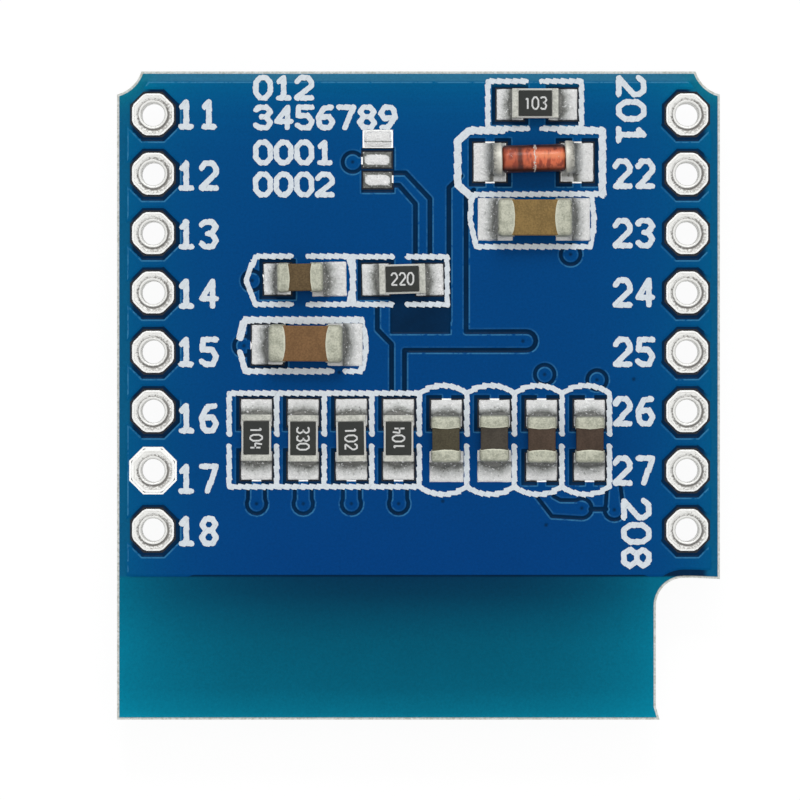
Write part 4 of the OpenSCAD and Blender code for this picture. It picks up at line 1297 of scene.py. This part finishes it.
white_ceramic = ceramic_finish()
black_glaze = glaze_finish()
resistor_wrap = wrap_finish("resistor_wrap", (0.64, 0.64, 0.58), (0.40, 0.41, 0.365), 0.15)
for number in resistors:
    for solid, kind, width, steps, finish, slot in (
            ("ceramic", "tile", 0.03, 3, white_ceramic, "alumina"),
            ("coat", "glaze", 0.035, 4, black_glaze, "coat"),
            ("ends", "wraps", 0.028, 3, resistor_wrap, "termination")):
        node = f"resistor_{number}_{solid}"
        seat(softened(node, f"resistor_{number}_{kind}", width, steps), finish, slot, node)

# %% [markdown]
# A chip capacitor is a fired block of brown ceramic, dipped at each end in metal paste. The
# paste creeps up the middle of each face before it dries, so the inner edge of the metal
# bulges towards the middle, and the dipped corners come out round. Each end is drawn as
# rings of points round the block, from the end face inwards. The block stops a little short
# of its packed ends, inside the metal, so that its corners don't come through.

# %% Dipped ends
def ring_faces(rings, count):
    """Quads between rings of points that follow each other."""
    faces = []
    for r in range(rings - 1):
        for k in range(count):
            a, b = r * count + k, r * count + (k + 1) % count
            faces.append((a, a + count, b + count, b))
    return faces


RING_COUNT = 44


def ring_points(half_w, half_h, radius, count=RING_COUNT):
    """Points round a rectangle with round corners, and how near each is to a corner."""
    spots = []
    for k in range(count):
        a = 2 * math.pi * (k + 0.5) / count
        dy, dz = math.cos(a), math.sin(a)
        reach = min(half_w / max(abs(dy), 1e-9), half_h / max(abs(dz), 1e-9))
        y, z = dy * reach, dz * reach
        cy, cz = max(abs(y) - half_w + radius, 0), max(abs(z) - half_h + radius, 0)
        away = math.hypot(cy, cz)
        if away > radius:
            y = math.copysign(half_w - radius + cy * radius / away, y)
            z = math.copysign(half_h - radius + cz * radius / away, z)
        side = max(abs(y) / half_w, abs(z) / half_h)
        along = min(abs(y) / half_w, abs(z) / half_h) / side
        spots.append((y, z, along))
    return spots


def dipped_end(length, band, half_w, half_h, radius, bulge, seed):
    """One closed metal end in its own frame: the end face at x = length, metal going inwards."""
    rings, count = [], RING_COUNT
    for shrink in (0.86, 0.6, 0.4):
        rings.append([(length, y * (1 - shrink), z * (1 - shrink))
                      for y, z, _ in ring_points(half_w - radius, half_h - radius, radius * 0.5)])
    for k in range(5):
        a = math.pi / 2 * k / 4
        inset, depth = radius * (1 - math.sin(a)), radius * (1 - math.cos(a))
        rings.append([(length - depth, y, z)
                      for y, z, _ in ring_points(half_w - inset, half_h - inset,
                                                 max(0.02, radius - inset))])
    for share, inset in ((0.6, 0.0), (0.9, 0.0), (1.0, 0.006), (1.03, 0.022), (1.03, 0.06)):
        ring = []
        for y, z, along in ring_points(half_w - inset, half_h - inset, radius):
            creep = bulge * (1 - along ** 2)
            creep += 0.012 * noise.noise(Vector((y * 6, z * 6, seed)))
            ring.append((length - (band + creep) * share, y, z))
        rings.append(ring)
    points = [p for ring in rings for p in ring]
    faces = ring_faces(len(rings), count)
    faces.append(tuple(range(count)))
    faces.append(tuple(range(len(points) - 1, len(points) - count - 1, -1)))
    # Values that paint light and shade on the metal: painted shade on the end face, its rounding and the
    # part's long sides, and a painted highlight along the inner edge of the metal.
    edge = [-0.8] * 3 + [-0.8, -0.6, -0.3, 0.0, 0.15] + [0.0, 0.15, 0.8, 0.9, 0.3]
    values = [edge[k // count] - 0.8 * max(0, abs(p[1]) - half_w + radius * 0.7) / (radius * 0.7)
              for k, p in enumerate(points)]
    return points, faces, values


def block_finish(name, mid, dark, fleck=0.25):
    """Fired ceramic with a fine fleck, in two near tones."""
    clay = Finish(name)
    grain = clay.grain(0.075, 4, 0.7)
    cloud = clay.grain(0.6, 3, 0.55)
    streak = clay.grain(0.3, 2, 0.5, clay.stretched(1, 0.25, 1))
    colour = clay.blend((grain * 0.6 + cloud * 0.25 + streak * 0.15).step(0.4, 0.6), dark, mid)
    chips = clay.cells(0.22).step(0.08, 0.03) * cloud.step(0.48, 0.6)
    colour = clay.blend(chips * fleck, colour, (0.55, 0.50, 0.42))
    return clay.done(Base_Color=colour, Roughness=0.5, Specular_IOR_Level=0.12,
                     Normal=clay.bump(grain + cloud * 0.6, 0.01))


BLOCKS = {1: ((0.305, 0.198, 0.070), (0.20, 0.13, 0.046)), 2: ((0.155, 0.105, 0.050), (0.10, 0.066, 0.032)),
          3: ((0.25, 0.135, 0.058), (0.17, 0.092, 0.040)), 4: ((0.088, 0.077, 0.047), (0.058, 0.05, 0.031)),
          5: ((0.078, 0.067, 0.052), (0.052, 0.044, 0.035)), 6: ((0.092, 0.062, 0.044), (0.062, 0.042, 0.03)),
          7: ((0.084, 0.056, 0.04), (0.056, 0.037, 0.027))}
BLOCK_INSET = 0.14
SLOTS = {1: "tan_ceramic", 2: "brown_ceramic", 3: "tan_ceramic"}
cream_wrap = wrap_finish("dipped_metal", (0.56, 0.565, 0.455), (0.30, 0.31, 0.24), 0.1, 0.8)
for number, stance in capacitors.items():
    clay = block_finish(f"fired_block_{number}", *BLOCKS[number])
    body = softened(f"capacitor_{number}_block", f"capacitor_{number}_body", 0.05)
    for vert in body.data.vertices:
        place = stance.place.inverted() @ (vert.co / mm)
        place.x -= math.copysign(BLOCK_INSET, place.x) if abs(place.x) > 0.3 else 0
        vert.co = (stance.place @ place) * mm
    seat(body, clay, SLOTS.get(number, "dark_ceramic"), f"capacitor_{number}_block")
    ends = stance.reach(f"capacitor_{number}_ends")
    kind = kind_of(stance)
    heap = Heap()
    for side in (1, -1):
        length = ends[1].x if side > 0 else -ends[0].x
        points, faces, values = dipped_end(length, kind.band, ends[1].y, (ends[1].z - ends[0].z) / 2,
                                           kind.radius, kind.bulge, number * 3 + side)
        lift = (ends[1].z + ends[0].z) / 2
        heap.take(stance.world([turned_to(side) @ Vector((p[0], p[1], p[2] + lift)) for p in points]),
                  faces, values)
    seat(heap.piece(f"capacitor_{number}_wraps"), cream_wrap, "termination", f"capacitor_{number}_ends")

# %% [markdown]
# The value of a resistor is printed on its glaze in thin white strokes. The strokes start as
# lines of points; Geometry Nodes turns each line into a curve with level normals and sweeps a
# small flat rectangle along it.

# %% Printed values
STROKES = {
    0: [[(0.3, 0), (0.7, 0), (1, 0.25), (1, 0.75), (0.7, 1), (0.3, 1), (0, 0.75), (0, 0.25), (0.3, 0)]],
    1: [[(0.3, 0.78), (0.6, 1), (0.6, 0)]],
    2: [[(0, 0.8), (0.25, 1), (0.75, 1), (1, 0.78), (1, 0.6), (0, 0), (1, 0)]],
    3: [[(0, 0.9), (0.25, 1), (0.75, 1), (1, 0.78), (0.7, 0.53), (0.4, 0.53)],
        [(0.7, 0.53), (1, 0.25), (0.75, 0), (0.25, 0), (0, 0.12)]],
    4: [[(0.2, 1), (0, 0.42), (0.95, 0.42)], [(0.8, 0.85), (0.8, 0)]]}


def mark_tree():
    tree = node_group("printed_marks", Width=0.072, Thickness=0.008, Round=0.025, Finish=None)
    line = tree.add("GeometryNodeMeshToCurve", None, {0: tree.given("Geometry")})
    bent = tree.add("GeometryNodeFilletCurve", {"mode": "POLY"},
                    {"Curve": line, "Count": 3, "Radius": tree.given("Round") * 0.001})
    level = tree.add("GeometryNodeSetCurveNormal", {"mode": "Z_UP"}, {0: bent})
    flat = tree.add("GeometryNodeCurvePrimitiveQuadrilateral", None,
                    {"Width": tree.given("Width") * 0.001, "Height": tree.given("Thickness") * 0.001})
    swept = tree.add("GeometryNodeCurveToMesh", None,
                     {"Curve": level, "Profile Curve": flat, "Fill Caps": True})
    return tree.deliver(swept)


def mark_finish():
    paint = Finish("white_marking")
    grain = paint.grain(0.03, 3, 0.6)
    colour = paint.blend(grain.step(0.35, 0.6), (0.54, 0.55, 0.54), (0.80, 0.81, 0.80))
    return paint.done(Base_Color=colour, Roughness=0.6,
                      Normal=paint.bump(grain, 0.004))


VALUES = {1: (1, 0, 3), 2: (2, 2, 0), 3: (1, 0, 4), 4: (3, 3, 0), 5: (1, 0, 2), 6: (1, 0, 4)}
TURNED = {3: -1, 4: -1, 5: -1, 6: 1}
PRINT_LIFT = 0.003
digit_w, digit_h, advance = 0.25, 0.50, 0.35
points, edges = [], []
for number, stance in resistors.items():
    top = stance.reach(f"resistor_{number}_coat")[1].z + PRINT_LIFT
    way = TURNED.get(number, 1)
    for place, value in enumerate(VALUES[number]):
        for stroke in STROKES[value]:
            first = len(points)
            for x, y in stroke:
                u = (place - 1) * advance + (x - 0.5) * digit_w
                v = (y - 0.5) * digit_h
                wander = 0.012 * noise.noise(Vector((u * 3 + number, v * 3, 4)))
                points.append(stance.world([(u * way + wander, v * way - wander, top)])[0])
            edges += [(first + k, first + k + 1) for k in range(len(stroke) - 1)]
lines = bpy.data.meshes.new("value_lines")
lines.from_pydata(points, edges, [])
marking = mark_finish()
values = baked("resistor_values", linked("value_lines", lines), mark_tree(), Finish=marking)
values.data.shade_flat()
seat(values, marking, "coat")

# %% [markdown]
# The diode is a glass sleeve between two metal cups. The glass is melted on, so its ends are
# round and a little fuller than the middle. Red studs inside it are magnified by the sleeve
# until they seem to fill it, so the sleeve is finished as one body of deep orange glass with
# a dark band, and a whisker of silver across the die. Its top and bottom sides and its ends
# are painted dark as shade, a painted highlight runs along it, and painted glints fleck it.
# It is drawn as rings round its axis.

# %% Turned pieces
TURNS = 48


def turned(profile, turns=TURNS):
    """Rings round the X axis; profile is a list of (x, radius)."""
    points = [(x, r * math.cos(2 * math.pi * k / turns), r * math.sin(2 * math.pi * k / turns))
              for x, r in profile for k in range(turns)]
    faces = ring_faces(len(profile), turns)
    faces.append(tuple(range(turns)))
    last = (len(profile) - 1) * turns
    faces.append(tuple(last + k for k in reversed(range(turns))))
    return points, faces


def sleeve_finish(centre):
    glass = Finish("sleeve_glass")
    x = glass.x - centre.x
    side = (glass.y - centre.y) / 0.6
    wisp = glass.grain(0.35, 3, 0.6, glass.stretched(1, 0.3, 1))
    fine = glass.grain(0.06, 3, 0.6)
    warm = glass.blend(x.step(-1.0, 0.3), (0.56, 0.12, 0.055), (0.80, 0.18, 0.08))
    warm = glass.blend((wisp - 0.5).size().step(0.02, 0.16), warm, (0.34, 0.065, 0.035))
    # Painted shade: the top and bottom sides of the sleeve and its round ends go dark.
    dark = side.size().step(0.4, 0.9).greater(x.size().step(1.15, 1.36) * 0.7)
    colour = glass.blend(dark, warm, (0.03, 0.005, 0.006))
    band = (1 - (x + 0.6 + (wisp - 0.5) * 0.3).size().step(0.03, 0.2)) * 0.85
    colour = glass.blend(band, colour, (0.045, 0.012, 0.012))
    # A painted highlight along the sleeve just above its middle, on its right-hand part.
    gleam = (1 - (side - 0.22 + (wisp - 0.5) * 0.35).size().step(0.05, 0.35)) * x.step(-0.2, 0.2)
    colour = glass.blend(gleam * 0.55, colour, (1.0, 0.35, 0.16))
    whisker = 1 - (x - 0.03 + (glass.grain(0.18, 3, 0.7) - 0.5) * 0.34).size().step(0.02, 0.06)
    colour = glass.blend(whisker * fine.step(0.36, 0.56), colour, (0.72, 0.66, 0.60))
    # Painted glints: small pale sparks.
    spark = glass.cells(0.17).step(0.12, 0.04) * wisp.step(0.5, 0.6)
    colour = glass.blend(spark, colour, (0.9, 0.8, 0.72))
    return glass.done(Base_Color=colour, Roughness=0.3, Specular_IOR_Level=0.2,
                      Coat_Weight=0.1, Coat_Roughness=0.12,
                      Normal=glass.bump(wisp, 0.02))


low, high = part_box("diode_glass")
diode_centre = (low + high) / 2 / mm
SLEEVE_TILT, CUP_TILTS = 1.6, {1: 2.5, -1: 1}
tilt = Matrix.Rotation(math.radians(SLEEVE_TILT), 4, "Z")
half_sleeve, sleeve_r = (high.x - low.x) / 2 / mm, (high.z - low.z) / 2 / mm
profile = [(-half_sleeve + a, sleeve_r - b) for a, b in
           ((0, 0.17), (0.02, 0.1), (0.06, 0.05), (0.12, 0.015), (0.2, 0.0), (0.35, 0.0))]
profile += [(half_sleeve * t, sleeve_r - 0.012 * (1 - t * t)) for t in (-0.6, -0.4, -0.2, 0, 0.2, 0.4, 0.6)]
profile += [(-x, r) for x, r in reversed(profile[:6])]
points, faces = turned(profile)
place = Matrix.Translation(diode_centre) @ tilt
sleeve = new_piece("diode_sleeve", [(place @ Vector(p)) * mm for p in points], faces)
sleeve.data.set_sharp_from_angle(angle=math.radians(50))
seat(sleeve, sleeve_finish(diode_centre), "sleeve_glass", "diode_glass")

low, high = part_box("diode_end_caps")
cap_outer, cap_r = (high.x - low.x) / 2 / mm, (high.z - low.z) / 2 / mm
# Values along the cup: high on the ring next to the glass, which the finish paints as a highlight, and
# nothing on the outer part.
ring = [0.6, 0.8, 1, 1, 0.9, 0.45, 0.0, 0.0, 0.0, 0.0]
profile = [(half_sleeve + a, cap_r - b) for a, b in
           ((0.005, 0.22), (0.0, 0.1), (0.005, 0.035), (0.03, 0.006), (0.08, 0.0), (0.2, 0.012))]
profile += [(cap_outer - a, cap_r - b) for a, b in ((0.06, 0.02), (0.02, 0.045), (0.0, 0.1), (0.0, 0.4))]
heap = Heap()
for side in (1, -1):
    lean = Matrix.Rotation(math.radians(CUP_TILTS[side]), 4, "Z")
    points, faces = turned(profile)
    place = Matrix.Translation(diode_centre) @ lean @ turned_to(side)
    heap.take([(place @ Vector(p)) * mm for p in points], faces,
              [ring[k // TURNS] for k in range(len(points))])
cup_metal = wrap_finish("cup_metal", (0.46, 0.45, 0.40), (0.15, 0.15, 0.135), 0.4, 1.0)
seat(heap.piece("diode_cups", 50), cup_metal, "stud_metal", "diode_end_caps")

# %% [markdown]
# Its solder lies in a thin frosty sheet over each pad, climbs in a ragged collar round the
# outer part of the cup, painted dark there as shade, and leaves a small wall on either side of
# it.

# %% Solder round the diode
heap = Heap()
for pad in islands("diode_solder"):
    low, high = box_of(pad)
    side = 1 if (low.x + high.x) / 2 > diode_centre.x else -1
    ends = sorted(((low.x - diode_centre.x) * side, (high.x - diode_centre.x) * side))
    offset = ((low.y + high.y) / 2 - diode_centre.y) * side
    half = (high.y - low.y) / 2 + 0.012
    face = cap_outer

    # Height and painted brightness of the solder: dark as painted shade where it climbs the cup.
    def collar(u, v, offset=offset, side=side, ends=ends):
        axis = abs(v + offset)
        beside = max(0, 1 - max(0, axis - 0.6) / 0.16) * (0.32 if axis > 0.5 else 0.2)
        ragged = 0.1 * noise.noise(Vector((u * 3, v * 3, side)))
        if u < face:
            edge = min(1, max(0, (u - ends[0]) / 0.15))
            return 0.05 + beside * edge, 0.25 + 0.5 * (axis > 0.72)
        s = (u - face) / (ends[1] - face)
        round_off = max(0, 1 - (axis / 0.72) ** 2) ** 0.5
        rise = max(0, 1 - s / (0.62 + ragged)) ** 2
        return 0.05 + 0.6 * rise * round_off + beside * max(0, 1 - s * 3) * 0.7, s * 1.15 + ragged * 0.4

    stops = [ends[0] - 0.3, ends[0] - 0.2, ends[0] - 0.05, ends[0] + 0.05, face - 0.08, face]
    stops += [face + (ends[1] - face) * t for t in (0.05, 0.1, 0.17, 0.24, 0.32, 0.42, 0.53, 0.65, 0.78,
                                                    0.88, 0.95, 1.015)]
    points, faces, values = lump(sorted(stops), half, collar, copper_face / mm, side + 4.0)
    turn = Matrix.Translation((diode_centre.x, diode_centre.y, 0)) @ turned_to(side)
    heap.take([(turn @ Vector((p[0], p[1] + offset, p[2]))) * mm for p in points], faces, values)
seat(heap.piece("diode_lumps"), solder, "solder", "diode_solder")

# %% [markdown]
# The three jumper pads carry a pillow of tin each, flat in the middle and rolled off at the
# edges. The top one has a dark line across it. The other two are bright in a rounded middle
# and go grey towards their corners and short ends.

# %% Jumper pads
heap = Heap()
pads = sorted(islands("jumper_pads"), key=lambda pad: -max(p.y for p in pad))
for order, pad in enumerate(pads):
    low, high = box_of(pad)
    half_w, half_h = (high.x - low.x) / 2 + 0.01, (high.y - low.y) / 2 + 0.01

    def pillow(u, v, half_w=half_w, half_h=half_h, order=order):
        swell = (1 - (abs(v) / half_h) ** 2.6) * (1 - (abs(u) / half_w) ** 6)
        if order == 0:
            return 0.02 + 0.07 * swell, 1.0 - 0.9 * math.exp(-((v / half_h + 0.3) / 0.12) ** 2)
        oval = (abs(u) / half_w / 0.82) ** 3.5 + (abs(v) / half_h / 0.62) ** 3.5
        return 0.02 + 0.07 * swell, 1.0 if oval < 0.75 else max(0.05, 1 - (oval - 0.75) * 1.6)

    stops = [half_w * t for t in (-1, -0.97, -0.9, -0.78, -0.6, -0.4, -0.2, 0, 0.2, 0.4, 0.6, 0.78,
                                  0.9, 0.97, 1)]
    points, faces, values = lump(stops, half_h, pillow, copper_face / mm, order * 2.0, True)
    centre = (low + high) / 2
    heap.take([((p[0] + centre.x) * mm, (p[1] + centre.y) * mm, p[2] * mm) for p in points], faces,
              values)
seat(heap.piece("jumper_pillows"), solder, "solder", "jumper_pads")

# %% [markdown]
# The laminate is bare in two places: along the rim of the board, where the router cut through
# pale glass cloth, and in the openings round the pads, where it is coloured nearly black. The
# copper that shows in an opening has taken tin like the pads.

# %% Laminate and copper
def laminate_finish():
    cloth = Finish("laminate")
    weave = (cloth.x * 14).sine() * (cloth.y * 14).sine()
    ply = cloth.grain(0.12, 3, 0.6, cloth.stretched(1, 1, 6))
    fibre = cloth.grain(0.03, 3, 0.7, cloth.stretched(0.3, 0.3, 1))
    raw = cloth.blend((ply * 0.6 + fibre * 0.4).step(0.36, 0.62), (0.53, 0.54, 0.48), (0.80, 0.82, 0.79))
    # The laminate is nearly black and mottled in the openings round the pads.
    opening_mottle = cloth.grain(0.3, 3, 0.6)
    dark = cloth.blend(opening_mottle, (0.010, 0.013, 0.025), (0.034, 0.036, 0.040))
    above = cloth.y - strip_end
    inside = board_edges(cloth)[-1].step(0.13, 0.2) * above.step(-0.1, 0.1)
    flat = cloth.z.step(core_face / mm - 0.02, core_face / mm - 0.005)
    flat = flat.greater(cloth.z.step(board_low.z / mm + 0.09, board_low.z / mm + 0.075))
    colour = cloth.blend(inside * flat, raw, dark)
    return cloth.done(Base_Color=colour, Roughness=0.7, Specular_IOR_Level=0.25,
                      Normal=cloth.bump(weave * 0.15 + fibre, 0.02))


refinish(laminate_finish(), "board_core")
refinish(tin_finish("thin_tin", 0.5, 0.9), "rear_copper", "front_copper")

# %% [markdown]
# The display lies face down under the board. Its polariser is a dark film, the glass behind
# it is clear, and on the ledge of the glass sit the driver chip and the amber flex that turns
# round to the board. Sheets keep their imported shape, with their edges eased.

# %% Display finishes
def polariser_finish():
    sheet = Finish("polariser_film")
    haze = sheet.grain(3.0, 3, 0.5)
    fine = sheet.grain(0.05, 2, 0.5)
    colour = sheet.blend(haze, (0.010, 0.011, 0.014), (0.020, 0.021, 0.027))
    return sheet.done(Base_Color=colour, Roughness=(fine - 0.5) * 0.05 + 0.12,
                      Coat_Weight=0.5, Normal=sheet.bump(fine, 0.0006))


def glass_finish():
    pane = Finish("display_glass")
    haze = pane.grain(1.5, 2, 0.5)
    colour = pane.blend(haze, (0.42, 0.58, 0.56), (0.55, 0.70, 0.68))
    return pane.done(Base_Color=colour, Roughness=0.05, Alpha=0.38,
                     Specular_IOR_Level=0.6)


def film_finish(lit_low, lit_high):
    """Dark film stack with fine rows and columns, and paler feed lines round the lit area."""
    stack = Finish("film_stack")
    rows = (stack.y * (2 * math.pi / 0.16)).sine().step(0.6, 0.95)
    columns = (stack.x * (2 * math.pi / 0.11)).sine().step(0.6, 0.95)
    lit = ((stack.x - lit_low.x) * (lit_high.x - stack.x)).step(0, 0.1)
    lit = lit * ((stack.y - lit_low.y) * (lit_high.y - stack.y)).step(0, 0.1)
    mesh = rows.greater(columns) * 0.6
    colour = stack.blend(lit, (0.12, 0.13, 0.15), (0.016, 0.020, 0.045))
    colour = stack.blend(mesh, colour, (0.055, 0.06, 0.10))
    return stack.done(Base_Color=colour, Metallic=0.3, Roughness=0.3)


def flex_finish(pitch):
    """Amber film with copper lines under it."""
    amber = Finish("polyimide")
    line = (amber.x * (2 * math.pi / pitch)).sine().step(-0.2, 0.2)
    cloud = amber.grain(1.2, 3, 0.5)
    fine = amber.grain(0.06, 3, 0.6)
    ground = amber.blend(cloud, (0.42, 0.16, 0.022), (0.52, 0.21, 0.035))
    colour = amber.blend(line * 0.75, ground, (0.62, 0.34, 0.10))
    return amber.done(Base_Color=colour, Roughness=0.32, Coat_Weight=0.35,
                      Normal=amber.bump(line * 0.6 + fine * 0.3, 0.012))


def foam_finish():
    foam = Finish("foam")
    pores = foam.cells(0.16, "SMOOTH_F1")
    fine = foam.grain(0.08, 3, 0.6)
    colour = foam.blend(pores.step(0.1, 0.5), (0.006, 0.006, 0.007), (0.045, 0.045, 0.05))
    return foam.done(Base_Color=colour, Roughness=0.9, Specular_IOR_Level=0.2,
                     Normal=foam.bump(pores + fine * 0.4, 0.05))


def plain_finish(name, first, second, width, rough, depth=0.006, metal=0.0):
    """Two near tones mottled together with a fine grain."""
    skin = Finish(name)
    cloud = skin.grain(width, 3, 0.6)
    fine = skin.grain(width * 0.15, 3, 0.6)
    colour = skin.blend((cloud * 0.6 + fine * 0.4).step(0.35, 0.65), first, second)
    return skin.done(Base_Color=colour, Roughness=rough, Metallic=metal,
                     Normal=skin.bump(cloud * 0.5 + fine, depth))


# %% Display pieces
pane = glass_finish()
lit_low, lit_high = (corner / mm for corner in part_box("emitting_films"))
flex_amber = flex_finish(0.7)
resin = plain_finish("seal_resin", (0.20, 0.18, 0.13), (0.30, 0.27, 0.20), 0.3, 0.4)
getter = plain_finish("getter_pad", (0.70, 0.70, 0.68), (0.82, 0.82, 0.80), 0.4, 0.8, 0.02)
silicon = plain_finish("chip_silicon", (0.055, 0.06, 0.07), (0.085, 0.09, 0.10), 0.8, 0.25, 0.002, 0.3)
for node, name, width, finish, slot in (
        ("polariser", "polariser_sheet", 0.03, polariser_finish(), "polariser_film"),
        ("base_glass", "base_pane", 0.05, pane, "display_glass"),
        ("cap_glass", "cap_pane", 0.05, pane, "display_glass"),
        ("foam_tape", "foam_pad", 0.08, foam_finish(), "foam"),
        ("driver_chip", "driver_die", 0.02, silicon, "chip_silicon"),
        ("flex_tail", "flex_ribbon", 0.012, flex_amber, "polyimide")):
    seat(softened(node, name, width), finish, slot, node)
unlit_rim = Vector((0.5, 0.5, 0))
refinish(film_finish(lit_low + unlit_rim, lit_high - unlit_rim), "emitting_films")
refinish(resin, "edge_seal")
refinish(getter, "getter_sheet")
refinish(bright_tin, "flex_solder")
refinish(plain_finish("stud_metal", (0.45, 0.12, 0.05), (0.60, 0.2, 0.09), 0.2, 0.3, 0.003, 0.6),
         "diode_studs")
refinish(silicon, "diode_die")
